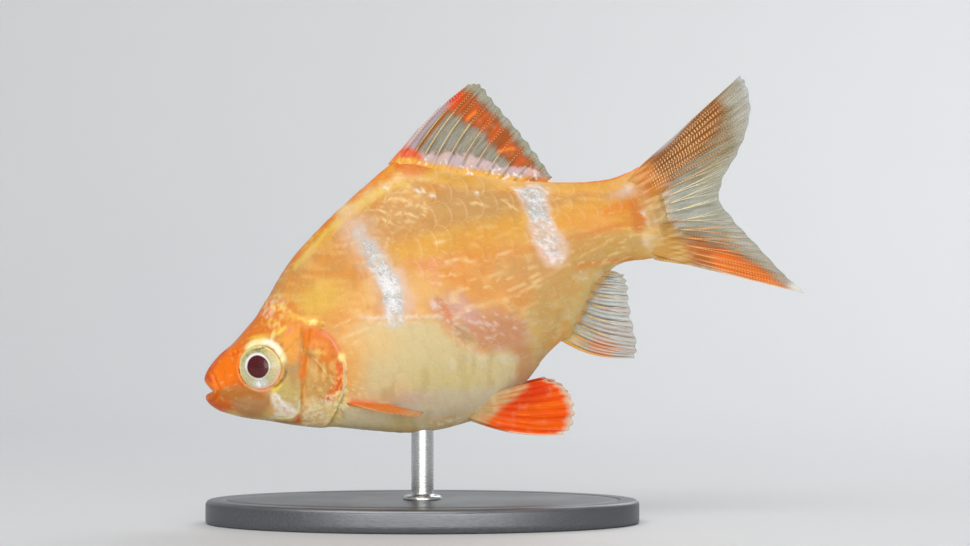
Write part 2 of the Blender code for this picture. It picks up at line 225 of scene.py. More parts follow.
# ------------------------------------------------ curves in the side view
def distance_to(line, s, h, closed=False):
    """Signed distance from points to a polyline (positive on its left), and how far along it (0..1)."""
    line = np.asarray(line, float)
    if closed:
        line = np.vstack([line, line[:1]])
    s, h = np.asarray(s, float), np.asarray(h, float)
    near = (s > line[:, 0].min() - 2.6) & (s < line[:, 0].max() + 2.6) & (h > line[:, 1].min() - 2.6) & (h < line[:, 1].max() + 2.6)
    best, along = np.full(s.shape, 1e9), np.zeros(s.shape)
    few = np.unique(np.linspace(0, len(line) - 1, 9).astype(int))
    for mask, part in ((near, line), (~near, line[few])):
        if mask.any():
            best[mask], along[mask] = _distance(part, s[mask], h[mask])
    return best, along


def _distance(line, s, h):
    seg = np.diff(line, axis=0)
    length = np.hypot(seg[:, 0], seg[:, 1])
    start = np.concatenate([[0], np.cumsum(length)])
    best, sign, along = np.full(s.shape, 1e9), np.ones(s.shape), np.zeros(s.shape)
    for k in range(len(seg)):
        ds, dh = s - line[k, 0], h - line[k, 1]
        t = np.clip((ds * seg[k, 0] + dh * seg[k, 1]) / max(length[k] ** 2, 1e-12), 0, 1)
        d = (ds - t * seg[k, 0]) ** 2 + (dh - t * seg[k, 1]) ** 2
        nearer = d < best - 1e-12
        best[nearer] = d[nearer]
        sign[nearer] = np.where(seg[k, 0] * dh - seg[k, 1] * ds >= 0, 1.0, -1.0)[nearer]
        along[nearer] = ((start[k] + t * length[k]) / start[-1])[nearer]
    return np.sqrt(best) * sign, along


def inside(polygon, s, h):
    """Signed distance to a closed outline, positive inside."""
    polygon = np.asarray(polygon, float)
    d, _ = distance_to(polygon, s, h, closed=True)
    within = np.zeros(np.shape(s), bool)
    x0, y0 = polygon[-1]
    for x1, y1 in polygon:
        hit = ((y0 > h) != (y1 > h)) & (s < (x1 - x0) * (h - y0) / (y1 - y0 + 1e-12) + x0)
        within ^= hit
        x0, y0 = x1, y1
    return np.where(within, np.abs(d), -np.abs(d))


def rounded(points, count=60):
    """A smooth open curve through a few named points, as count points."""
    return catmull(points, np.linspace(0, 1, count))


# ------------------------------------------------ meshes
def grid_faces(rows, cols, wrap=False, start=0, flip=False):
    """Quads of a grid whose points are laid out row by row; wrap joins the last column to the first."""
    i, j = np.meshgrid(np.arange(rows - 1), np.arange(cols if wrap else cols - 1), indexing="ij")
    k = (j + 1) % cols
    quad = np.stack([i * cols + j, i * cols + k, (i + 1) * cols + k, (i + 1) * cols + j], -1).reshape(-1, 4)
    if flip:
        quad = quad[:, ::-1]
    return quad + start


def build_mesh(name, points, quads, tris=None, mats=None, smooth_faces=True):
    """A mesh object from arrays: points (n, 3) world metres, quads (m, 4), tris (k, 3)."""
    tris = np.zeros((0, 3), int) if tris is None or len(tris) == 0 else np.asarray(tris, int)
    quads = np.zeros((0, 4), int) if quads is None or len(quads) == 0 else np.asarray(quads, int)
    mesh = bpy.data.meshes.new(name)
    mesh.vertices.add(len(points))
    mesh.vertices.foreach_set("co", np.asarray(points, np.float32).ravel())
    loops = np.concatenate([quads.ravel(), tris.ravel()]).astype(np.int32)
    starts = np.concatenate([np.arange(len(quads)) * 4, len(quads) * 4 + np.arange(len(tris)) * 3]).astype(np.int32)
    mesh.loops.add(len(loops))
    mesh.loops.foreach_set("vertex_index", loops)
    mesh.polygons.add(len(starts))
    mesh.polygons.foreach_set("loop_start", starts)
    mesh.polygons.foreach_set("use_smooth", np.full(len(starts), smooth_faces))
    mesh.update(calc_edges=True)
    mesh.validate()
    obj = bpy.data.objects.new(name, mesh)
    bpy.context.scene.collection.objects.link(obj)
    for m in mats or []:
        mesh.materials.append(m)
    return obj


def give(obj, name, values):
    """Stores one number, vector or colour per point."""
    values = np.asarray(values, np.float32)
    if values.ndim == 1:
        obj.data.attributes.new(name, "FLOAT", "POINT").data.foreach_set("value", values)
    elif values.shape[1] == 3:
        obj.data.attributes.new(name, "FLOAT_VECTOR", "POINT").data.foreach_set("vector", values.ravel())
    else:
        obj.data.attributes.new(name, "FLOAT_COLOR", "POINT").data.foreach_set("color", values.ravel())


def linear(rgb):
    """sRGB 0..255 to linear 0..1."""
    c = np.asarray(rgb, float) / 255.0
    return np.where(c <= 0.04045, c / 12.92, ((c + 0.055) / 1.055) ** 2.4)


def normals_of(grid, wrap=True):
    """Outward normals of a grid of points (rows, cols, 3) in body coordinates."""
    down = np.gradient(grid, axis=0)
    if wrap:
        across = (np.roll(grid, -1, 1) - np.roll(grid, 1, 1)) / 2
    else:
        across = np.gradient(grid, axis=1)
    n = np.cross(down, across)
    n /= np.linalg.norm(n, axis=-1, keepdims=True) + 1e-12
    return n


# =========================================================== lines of the head
def px_line(points, count=60, closed=False):
    body = [px_to_body(*p) for p in points]
    if closed:
        body = body[-2:] + body + body[:2]
        n = len(body) - 1
        t = np.linspace(2 / n, (n - 1) / n, count, endpoint=False)
        return catmull(body, t)
    return rounded(body, count)


COVER_RIM = px_line([(298, 327), (310, 326), (321, 329), (330, 335), (337.5, 345), (343, 358), (344.8, 372),
                     (343.8, 391), (337, 410), (328, 424), (316, 431), (302, 433)])
COVER_AREA = px_line([(300, 330), (310, 326), (321, 329), (330, 335), (337.5, 345), (343, 358), (344.8, 372),
                      (343.8, 391), (337, 410), (328, 424), (316, 430), (304, 429), (300, 420), (300.5, 405),
                      (301.5, 385), (301, 360), (299.5, 342)], 90, closed=True)
CHEEK_EDGE = px_line([(297, 334), (299.5, 350), (301.5, 375), (300.8, 398), (299.4, 411), (295, 418), (284, 419.5),
                      (271, 417), (262, 414)])
ORBIT_CREASE = px_line([(286.5, 366), (284.5, 376), (278, 384.5), (269, 388.5)], 30)
JAW_FOLD = px_line([(216, 392), (226, 399), (240, 404), (256, 408)], 40)
BRANCHIAL_1 = px_line([(262, 418), (285, 425), (305, 430), (322, 433)], 40)
BRANCHIAL_2 = px_line([(256, 421), (280, 429), (300, 434), (318, 437)], 40)
UPPER_LIP_FOLD = px_line([(209, 367), (213, 376), (217, 385), (219, 391)], 30)
LOWER_LIP_FOLD = px_line([(208, 404), (213, 401), (217, 396), (218, 392)], 30)
OPERCLE_RIDGE = px_line([(309, 354), (318, 363), (328, 377)], 20)
NAPE_CREST = px_line([(271, 337), (286, 326), (300, 323), (316, 321)], 30)


def cover_wrinkles(s, h, p):
    """Tangled fine folds in the soft lower part of the gill cover, 0 to 1."""
    q = np.stack([s * 0.95 + h * 0.30, np.zeros_like(s), h * 2.5 - s * 0.55], -1)
    a = smooth(0.10, 0.0, np.abs(noise(q, 0.50, 171) - 0.5))
    q = np.stack([s * 1.1 - h * 0.75, np.zeros_like(s), h * 2.2 + s * 1.1], -1)
    b = smooth(0.08, 0.0, np.abs(noise(q, 0.55, 172) - 0.5))
    return np.maximum(a, 0.8 * b)


def head_relief(s, h, p):
    """How far the naked skin of the head stands out (mm), by its side view."""
    out = np.zeros(np.shape(s))
    r = np.hypot((s - EYE_S) / 1.0, (h - EYE_H) / 1.0)
    # the eye's rim, then the socket that the eye sits in
    out += 0.13 * bump_at(r - 2.48, 0.20)
    out -= 1.25 * (1 - smooth(1.95, 2.26, r))
    # crease under and behind the eye
    d, t = distance_to(ORBIT_CREASE, s, h)
    ends = smooth(0, 0.2, t) * (1 - smooth(0.85, 1.0, t))
    out -= 0.10 * bump_at(d, 0.13) * ends
    # nostril: two pits with a raised flap between them
    for ns, nh, depth, width in ((4.02, 1.62, 0.42, 0.17), (4.55, 1.72, 0.38, 0.19)):
        out -= depth * bump_at(np.hypot(s - ns, h - nh), width)
    out += 0.16 * bump_at(np.hypot((s - 4.28) / 0.8, (h - 1.67) / 1.4), 0.16)
    out += 0.05 * bump_at(np.hypot(s - 4.3, h - 1.65) - 0.55, 0.13)
    # lips stand out as soft rolls ahead of their folds
    for fold, side in ((UPPER_LIP_FOLD, 1), (LOWER_LIP_FOLD, 1)):
        d, t = distance_to(fold, s, h)
        ends = smooth(0.0, 0.12, t) * (1 - smooth(0.9, 1.0, t) * 0.6)
        out -= 0.13 * bump_at(d, 0.13) * ends
        out += 0.07 * bump_at(np.abs(d) - 0.38, 0.22) * ends
    d, t = distance_to(JAW_FOLD, s, h)
    out -= 0.05 * bump_at(d, 0.20) * smooth(0, 0.15, t) * (1 - smooth(0.75, 1.0, t))
    # the cheek bone's rear edge: a step down to the gill cover
    d, t = distance_to(CHEEK_EDGE, s, h)
    ends = smooth(0.0, 0.12, t) * (1 - smooth(0.80, 1.0, t))
    edge = np.where(d < 0, bump_at(d, 0.55) * 0.09, 0.0)
    out += ends * (edge - 0.07 * bump_at(d - 0.10, 0.16))
    # gill cover: proud of the flank behind it, ending in a thin free rim
    d = inside(COVER_AREA, s, h)
    out += 0.13 * smooth(-0.02, 0.75, d)
    rim, t = distance_to(COVER_RIM, s, h)
    outside = d <= 0
    along = smooth(0.0, 0.10, t) * (1 - smooth(0.93, 1.0, t))
    out += along * np.where(outside, 0, 0.17 * bump_at(rim, 0.42))
    out -= along * np.where(outside, 0.24 * bump_at(np.abs(rim) - 0.10, 0.26), 0)
    d, t = distance_to(OPERCLE_RIDGE, s, h)
    out += 0.012 * bump_at(d, 0.14) * smooth(0, 0.2, t) * (1 - smooth(0.8, 1, t))
    # gill membranes under the cover
    for line in (BRANCHIAL_1, BRANCHIAL_2):
        d, t = distance_to(line, s, h)
        out -= 0.10 * bump_at(d, 0.14) * smooth(0, 0.2, t) * (1 - smooth(0.85, 1, t))
    # bony crest behind the head and sensory pores
    d, t = distance_to(NAPE_CREST, s, h)
    out += 0.05 * bump_at(d, 0.25)
    head = 1 - smooth(12.0, 14.0, s)
    out += head * (0.035 * (fractal(p, 1.1, 3) - 0.5) + 0.018 * (noise(p, 0.38, 4) - 0.5))
    # fine wrinkles over the lower gill cover
    low = smooth(0.1, 0.6, inside(COVER_AREA, s, h)) * smooth(-5.4, -7.0, h)
    out += low * 0.055 * (cover_wrinkles(s, h, p) - 0.4)
    return out


# =========================================================== the skin
AROUND = 304
HALF = AROUND // 2
turns = 2 * math.pi * (np.arange(AROUND)) / AROUND
ONE = (turns <= math.pi + 1e-9)

# the rim of the open mouth on one side: (turn in degrees, s, y, h), and the
# point that steers the lip's roll outwards from there
LIP = np.array([
    # turn,   rim s,  y,     h,     steer s, y,    h
    (0.0, 0.16, 0.00, -0.16, -0.06, 0.00, 0.42),
    (25.0, 0.20, 0.55, -0.26, 0.00, 0.78, 0.30),
    (50.0, 0.36, 0.98, -0.60, 0.14, 1.40, -0.06),
    (72.0, 0.58, 1.26, -1.08, 0.40, 1.86, -0.66),
    (90.0, 0.76, 1.36, -1.36, 0.66, 1.98, -1.32),
    (108.0, 0.56, 1.26, -1.44, 0.36, 1.78, -1.74),
    (130.0, 0.20, 0.98, -1.44, -0.32, 1.24, -1.90),
    (155.0, -0.02, 0.52, -1.44, -0.74, 0.66, -1.78),
    (180.0, -0.06, 0.00, -1.44, -0.84, 0.00, -1.72),
])


def lip_values(turn, column):
    """A column of LIP round the whole mouth; y changes sign across the middle."""
    degrees = np.degrees(turn) % 360
    folded = np.where(degrees > 180, 360 - degrees, degrees)
    t = np.interp(folded, LIP[:, 0], np.linspace(0, 1, len(LIP)))
    value = catmull(LIP[:, column:column + 1], t)[..., 0]
    if column in (2, 5):
        value = np.where(degrees > 180, -value, value)
    return value


rim = np.stack([lip_values(turns, c) for c in (1, 2, 3)], -1)
steer = np.stack([lip_values(turns, c) for c in (4, 5, 6)], -1)
S_JOIN = 1.55
join = ring_point(np.full(AROUND, S_JOIN), turns)
ahead = (ring_point(np.full(AROUND, S_JOIN + 0.05), turns) - ring_point(np.full(AROUND, S_JOIN - 0.05), turns)) / 0.1
reach = np.linalg.norm(join - rim, axis=1)[:, None] * 0.42
back_to = join - ahead / np.linalg.norm(ahead, axis=1)[:, None] * reach


def bezier(a, b, c, d, t):
    t = t[:, None, None]
    return (1 - t) ** 3 * a + 3 * (1 - t) ** 2 * t * b + 3 * (1 - t) * t**2 * c + t**3 * d


MOUTH_RINGS, FACE_RINGS, HEAD_RINGS, BODY_RINGS = 12, 34, 132, 118
throat = np.array([2.3, 0.0, -1.55])
inward = rim + (throat - rim) * 0.42
roll_in = rim - (steer - rim) * 0.30 + (throat - rim) * 0.10
shrunk = throat + (inward - throat) * 0.25
mouth = bezier(shrunk, inward * 0.75 + shrunk * 0.25, roll_in, rim, np.linspace(0, 1, MOUTH_RINGS + 1)[:-1] ** 0.8)
face = bezier(rim, steer, back_to, join, np.linspace(0, 1, FACE_RINGS + 1)[:-1] ** 1.12)
sigma_head = S_JOIN + (15.2 - S_JOIN) * np.linspace(0, 1, HEAD_RINGS)
sigma_body = 15.2 + (S_LAST - 15.2) * np.linspace(0, 1, BODY_RINGS)[1:]
sigmas = np.concatenate([sigma_head, sigma_body])
loft = ring_point(sigmas[:, None], np.broadcast_to(turns, (len(sigmas), AROUND)))


def slimmed(p):
    """Thins the end of the tail stalk, so that it runs out into the fin."""
    p = p.copy()
    p[..., 1] *= 1 - 0.50 * smooth(46.0, 51.2, p[..., 0])
    return p


loft = slimmed(loft)
# the fleshy end of the tail, closing to a wedge between the fin rays
end = loft[-1]
closing = []
for far, thin, low in ((0.18, 0.91, 0.985), (0.40, 0.79, 0.96), (0.62, 0.65, 0.925), (0.84, 0.49, 0.88), (1.05, 0.33, 0.835), (1.22, 0.17, 0.80), (1.30, 0.04, 0.78)):
    ring = end.copy()
    ring[:, 1] *= thin
    mid_h = (end[:, 2].max() + end[:, 2].min()) / 2
    ring[:, 2] = mid_h + (ring[:, 2] - mid_h) * low
    ring[:, 0] += far * (1 - 0.25 * ((ring[:, 2] - mid_h) / 5.1) ** 2 + 0.08 * ring[:, 2])
    closing.append(ring)
skin_grid = np.concatenate([mouth, face, loft, np.array(closing)])
ROWS = len(skin_grid)
FACE_AT = MOUTH_RINGS + FACE_RINGS

skin_normal = normals_of(skin_grid)
centre = skin_grid.mean(axis=1, keepdims=True)
probe = FACE_AT + 60
if np.sum(skin_normal[probe] * (skin_grid[probe] - centre[probe])) < 0:
    skin_normal = -skin_normal
    FLIP = True
else:
    FLIP = False

COAT_DEPTH = 0.14
gs, gy, gh = skin_grid[..., 0], skin_grid[..., 1], skin_grid[..., 2]


def scaled_zone(s, h):
    """1 where scales grow: behind the gill cover and over the nape, not on the head."""
    nape = px_line([(264, 300), (276, 306), (288, 312), (300, 317), (318, 320)], 30)
    d, _ = distance_to(np.vstack([nape, COVER_RIM[6:]]), s, h)
    return smooth(-0.15, 0.55, -d if ZONE_SIGN < 0 else d)


_d, _ = distance_to(np.vstack([px_line([(264, 300), (276, 306), (288, 312), (300, 317), (318, 320)], 30), COVER_RIM[6:]]), np.array([25.0]), np.array([0.0]))
ZONE_SIGN = float(np.sign(_d[0]))

on_side = np.abs(skin_normal[..., 1])
relief = head_relief(gs, gh, skin_grid) * smooth(0.10, 0.55, on_side)
relief *= smooth(MOUTH_RINGS + 1, MOUTH_RINGS + 12, np.arange(ROWS))[:, None]
coat = scaled_zone(gs, gh)
# muscle blocks: shallow chevrons along the flank
chevron = np.abs(gh + 1.2) * 0.42
wave = np.sin((gs - chevron) * 2 * math.pi / 1.75)
flank = smooth(17, 21, gs) * (1 - smooth(48, 51, gs)) * smooth(0.35, 0.8, on_side)
relief = relief - COAT_DEPTH * coat * (1 - smooth(50.2, 51.2, gs)) + 0.008 * wave * flank
relief = relief + 0.03 * (fractal(skin_grid, 4.0, 11) - 0.5) * coat
skin_body = skin_grid + skin_normal * relief[..., None]
print("skin rows", ROWS, "points", ROWS * AROUND)


# ------------------------------------------------ skin as a mesh
def skin_object(mat):
    pts = place(skin_body).reshape(-1, 3)
    quads = grid_faces(ROWS, AROUND, wrap=True, flip=FLIP)
    pole_a, pole_b = place(skin_body[0].mean(0)), place(skin_body[-1].mean(0))
    k = np.arange(AROUND)
    n = len(pts)
    a = np.stack([(k + 1) % AROUND, k, np.full(AROUND, n)], 1)
    b = np.stack([(ROWS - 1) * AROUND + k, (ROWS - 1) * AROUND + (k + 1) % AROUND, np.full(AROUND, n + 1)], 1)
    tris = np.vstack([a, b])
    if FLIP:
        tris = tris[:, ::-1]
    return build_mesh("skin", np.vstack([pts, pole_a, pole_b]), quads, tris, [mat])


# =========================================================== node helpers
class Nodes:
    """Short names for building a material's nodes."""

    def __init__(self, name):
        self.m = bpy.data.materials.new(name)
        self.m.use_nodes = True
        self.t = self.m.node_tree
        self.shader = self.t.nodes["Principled BSDF"]
        self.out = self.t.nodes["Material Output"]

    def link(self, a, b):
        self.t.links.new(a, b)

    def put(self, socket, value):
        if hasattr(value, "is_output"):
            self.t.links.new(value, socket)
        elif value is not None:
            socket.default_value = value

    def set(self, **values):
        for key, value in values.items():
            self.put(self.shader.inputs[key.replace("_", " ")], value)

    def attr(self, name, out="Fac"):
        n = self.t.nodes.new("ShaderNodeAttribute")
        n.attribute_name = name
        return n.outputs[out]

    def math(self, op, a, b=None, c=None, clamp=False):
        n = self.t.nodes.new("ShaderNodeMath")
        n.operation = op
        n.use_clamp = clamp
        for i, v in enumerate((a, b, c)):
            if v is not None:
                self.put(n.inputs[i], v)
        return n.outputs[0]

    def vec(self, op, a, b=None):
        n = self.t.nodes.new("ShaderNodeVectorMath")
        n.operation = op
        self.put(n.inputs[0], a)
        if b is not None:
            self.put(n.inputs[1], b)
        return n.outputs["Value" if op in ("LENGTH", "DISTANCE", "DOT_PRODUCT") else "Vector"]

    def split(self, v):
        n = self.t.nodes.new("ShaderNodeSeparateXYZ")
        self.put(n.inputs[0], v)
        return n.outputs

    def join(self, x, y, z):
        n = self.t.nodes.new("ShaderNodeCombineXYZ")
        for i, v in enumerate((x, y, z)):
            self.put(n.inputs[i], v)
        return n.outputs[0]

    def noise(self, where, scale, detail=2.0, rough=0.5, distort=0.0, out="Fac"):
        n = self.t.nodes.new("ShaderNodeTexNoise")
        self.put(n.inputs["Vector"], where)
        n.inputs["Scale"].default_value = scale
        n.inputs["Detail"].default_value = detail
        n.inputs["Roughness"].default_value = rough
        n.inputs["Distortion"].default_value = distort
        return n.outputs[out]

    def voronoi(self, where, scale, feature="F1", out="Distance", randomness=1.0):
        n = self.t.nodes.new("ShaderNodeTexVoronoi")
        n.feature = feature
        self.put(n.inputs["Vector"], where)
        n.inputs["Scale"].default_value = scale
        n.inputs["Randomness"].default_value = randomness
        return n.outputs[out]

    def ramp(self, fac, stops, kind="LINEAR"):
        n = self.t.nodes.new("ShaderNodeValToRGB")
        n.color_ramp.interpolation = kind
        e = n.color_ramp.elements
        while len(e) < len(stops):
            e.new(0.5)
        for k, (at, colour) in enumerate(stops):
            e[k].position = at
            e[k].color = (*colour, 1.0) if len(colour) == 3 else colour
        self.put(n.inputs[0], fac)
        return n.outputs[0]

    def range(self, value, a, b, c=0.0, d=1.0, kind="SMOOTHSTEP"):
        n = self.t.nodes.new("ShaderNodeMapRange")
        n.interpolation_type = kind
        self.put(n.inputs["Value"], value)
        for key, v in (("From Min", a), ("From Max", b), ("To Min", c), ("To Max", d)):
            n.inputs[key].default_value = v
        return n.outputs[0]

    def mix(self, fac, a, b, blend="MIX"):
        n = self.t.nodes.new("ShaderNodeMix")
        n.data_type = "RGBA"
        n.blend_type = blend
        self.put(n.inputs[0], fac)
        for i, v in ((6, a), (7, b)):
            if not hasattr(v, "is_output") and len(v) == 3:
                v = (*v, 1.0)
            self.put(n.inputs[i], v)
        return n.outputs[2]

    def bump(self, height, distance, strength=1.0, normal=None):
        n = self.t.nodes.new("ShaderNodeBump")
        n.inputs["Strength"].default_value = strength
        n.inputs["Distance"].default_value = distance
        self.put(n.inputs["Height"], height)
        if normal is not None:
            self.put(n.inputs["Normal"], normal)
        return n.outputs[0]


# =========================================================== the fish's colours
TONE = {name: linear(rgb) for name, rgb in {
    "snout red": (206, 62, 4), "snout": (238, 116, 0), "lip": (206, 80, 2), "jaw": (204, 96, 2),
    "forehead": (222, 122, 34), "nape pink": (240, 190, 150), "nape yellow": (238, 206, 84),
    "under eye": (184, 108, 12), "cheek": (184, 134, 88), "cheek green": (194, 176, 110), "cheek brown": (180, 126, 78),
    "cream": (238, 226, 204), "cream yellow": (250, 240, 176), "yellow": (244, 214, 92), "sparkle": (255, 236, 150),
    "mauve": (232, 150, 84), "orange": (230, 118, 8), "deep orange": (218, 92, 4), "red orange": (226, 80, 16), "apricot": (238, 160, 62),
    "brown": (146, 78, 20), "cover tan": (200, 126, 32), "cover olive": (206, 176, 112), "cover pale": (244, 218, 158), "salmon": (238, 150, 112),
    "gold": (222, 146, 54), "gold light": (240, 190, 112), "gold deep": (226, 138, 42), "tan": (202, 146, 80),
    "tan dull": (194, 150, 88), "back band": (232, 168, 68), "back pale": (246, 212, 150), "rim": (234, 104, 22),
    "belly": (210, 190, 122), "belly pale": (216, 200, 148), "belly grey": (206, 192, 166), "olive": (186, 158, 98),
    "olive deep": (150, 126, 74), "viscera": (204, 142, 116), "viscera deep": (196, 124, 82), "lilac": (206, 160, 156), "mud": (168, 138, 86),
    "rear": (196, 152, 84), "rear belly": (212, 174, 122), "bar": (200, 197, 192), "bar blue": (180, 184, 184), "thread": (250, 250, 252),
    "bar pink": (230, 194, 168), "bright rim": (240, 132, 12), "ear orange": (224, 116, 0), "root tan": (178, 136, 66), "root orange": (206, 112, 36), "root grey": (182, 154, 116),
    "root gold": (194, 142, 64), "root brown": (152, 98, 36), "stalk": (210, 162, 80), "stalk olive": (196, 146, 70), "stalk orange": (230, 140, 44),
    "base orange": (206, 112, 40), "pink white": (232, 204, 196), "white": (244, 242, 238), "fin root red": (222, 92, 54),
    "spine": (230, 172, 66), "dark line": (120, 66, 34),
}.items()}


class Paint:
    """Colours at a set of points, built up from soft named marks in the side view."""

    def __init__(self, p, tone):
        self.p = np.asarray(p, float)
        self.s, self.h = self.p[..., 0], self.p[..., 2]
        self.rgb = np.broadcast_to(TONE[tone], self.p.shape).copy()
        self.marks = 0

    def wobble(self, amount, scale):
        self.marks += 1
        if not amount:
            return self.s, self.h
        k = self.marks
        a = noise(self.p, scale, 40 + 2 * (k % 7)) - 0.5
        b = noise(self.p, scale, 41 + 2 * (k % 7)) - 0.5
        return self.s + 2 * amount * a, self.h + 2 * amount * b

    def lay(self, weight, tone):
        self.rgb += np.clip(weight, 0, 1)[..., None] * (TONE[tone] - self.rgb)

    def blob(self, px, py, rx, ry, tone, opacity=1.0, tilt=0.0, soft=0.5, rough=0.25, scale=1.0):
        """A soft ellipse; radii in reference pixels, tilt in degrees in the picture's plane."""
        cs, ch = px_to_body(px, py)
        s, h = self.wobble(rough, scale)
        k = 0.105
        a = math.radians(tilt) - PITCH
        u = ((s - cs) * math.cos(a) + (h - ch) * math.sin(a)) / (rx * k)
        v = (-(s - cs) * math.sin(a) + (h - ch) * math.cos(a)) / (ry * k)
        r = np.hypot(u, v)
        self.lay(opacity * (1 - smooth(1 - soft, 1 + soft, r)), tone)

    def area(self, points, tone, opacity=1.0, soft=0.5, rough=0.3, scale=1.2):
        """A soft-edged patch inside an outline of reference pixels; soft in mm."""
        s, h = self.wobble(rough, scale)
        d = inside(px_line(points, 8 * len(points), closed=True), s, h)
        self.lay(opacity * smooth(-soft, soft, d), tone)

    def stroke(self, points, width, tone, opacity=1.0, soft=0.5, rough=0.1, scale=0.7, ends=0.15, broken=0.0):
        """A soft line through reference pixels; width in pixels, broken from 0 to 1 breaks it up."""
        s, h = self.wobble(rough, scale)
        d, t = distance_to(px_line(points, 10 * len(points)), s, h)
        w = width * 0.0525
        line = (1 - smooth(w * (1 - soft), w * (1 + soft), np.abs(d)))
        if ends:
            line = line * smooth(0, ends, t) * (1 - smooth(1 - ends, 1, t))
        if broken:
            line = line * (1 - broken * smooth(0.42, 0.58, noise(self.p, 0.45, 60 + self.marks % 5)))
        self.lay(opacity * line, tone)


def threads(p, lean_to, across, along, seed, fine=0.10):
    """Thin wavering lines over the body; lean_to is their direction in degrees up from the tail."""
    s, h = p[..., 0], p[..., 2]
    a = math.radians(lean_to)
    u, v = s * math.cos(a) + h * math.sin(a), -s * math.sin(a) + h * math.cos(a)
    q = np.stack([u / along, 0.35 * p[..., 1], v / across], -1)
    return smooth(fine, 0.0, np.abs(noise(q, 1.0, seed) - 0.5))


def strokes_field(p, lean_to, across, along, seed):
    """Long soft patches, 0 to 1, that lie in one direction."""
    s, h = p[..., 0], p[..., 2]
    a = math.radians(lean_to)
    u, v = s * math.cos(a) + h * math.sin(a), -s * math.sin(a) + h * math.cos(a)
    return noise(np.stack([u / along, 0.35 * p[..., 1] / along, v / across], -1), 1.0, seed)


def height_share(s, h):
    """0 at the belly's edge, 1 at the back's."""
    top, bottom, *_ = section(station_of(s, h))
    return np.clip((h - bottom) / (top - bottom), 0, 1)


def tail_root(c):
    """Where the flesh of the tail runs out between the fin's rays."""
    s, h = c.s, c.h
    turn = h - 0.3 - 0.16 * (s - 49.0) * np.clip(h / 3.0, -1, 1)
    comb = noise(np.stack([s * 0.28, np.zeros_like(s), turn * 3.4], -1), 1.0, 226)
    wide = noise(np.stack([s * 0.8, np.zeros_like(s), turn * 1.3], -1), 1.0, 227)
    near = smooth(49.6, 51.4, s + 1.3 * (comb - 0.5) + 0.9 * (wide - 0.5))
    c.lay(near * 0.88, "root tan")
    c.lay(near * smooth(1.2, 3.4, h + 1.2 * (wide - 0.5)) * (0.58 + 0.40 * comb), "root orange")
    c.lay(near * bump_at(h + 0.4 + 1.0 * (wide - 0.5), 1.3) * (0.30 + 0.60 * comb), "root grey")
    c.lay(near * smooth(-1.2, -2.6, h + 1.2 * (wide - 0.5)) * (0.25 + 0.50 * comb), "root gold")
    c.lay(near * smooth(0.56, 0.76, comb) * 0.34, "back pale")
    c.lay(near * smooth(0.46, 0.30, comb) * 0.40, "root brown")


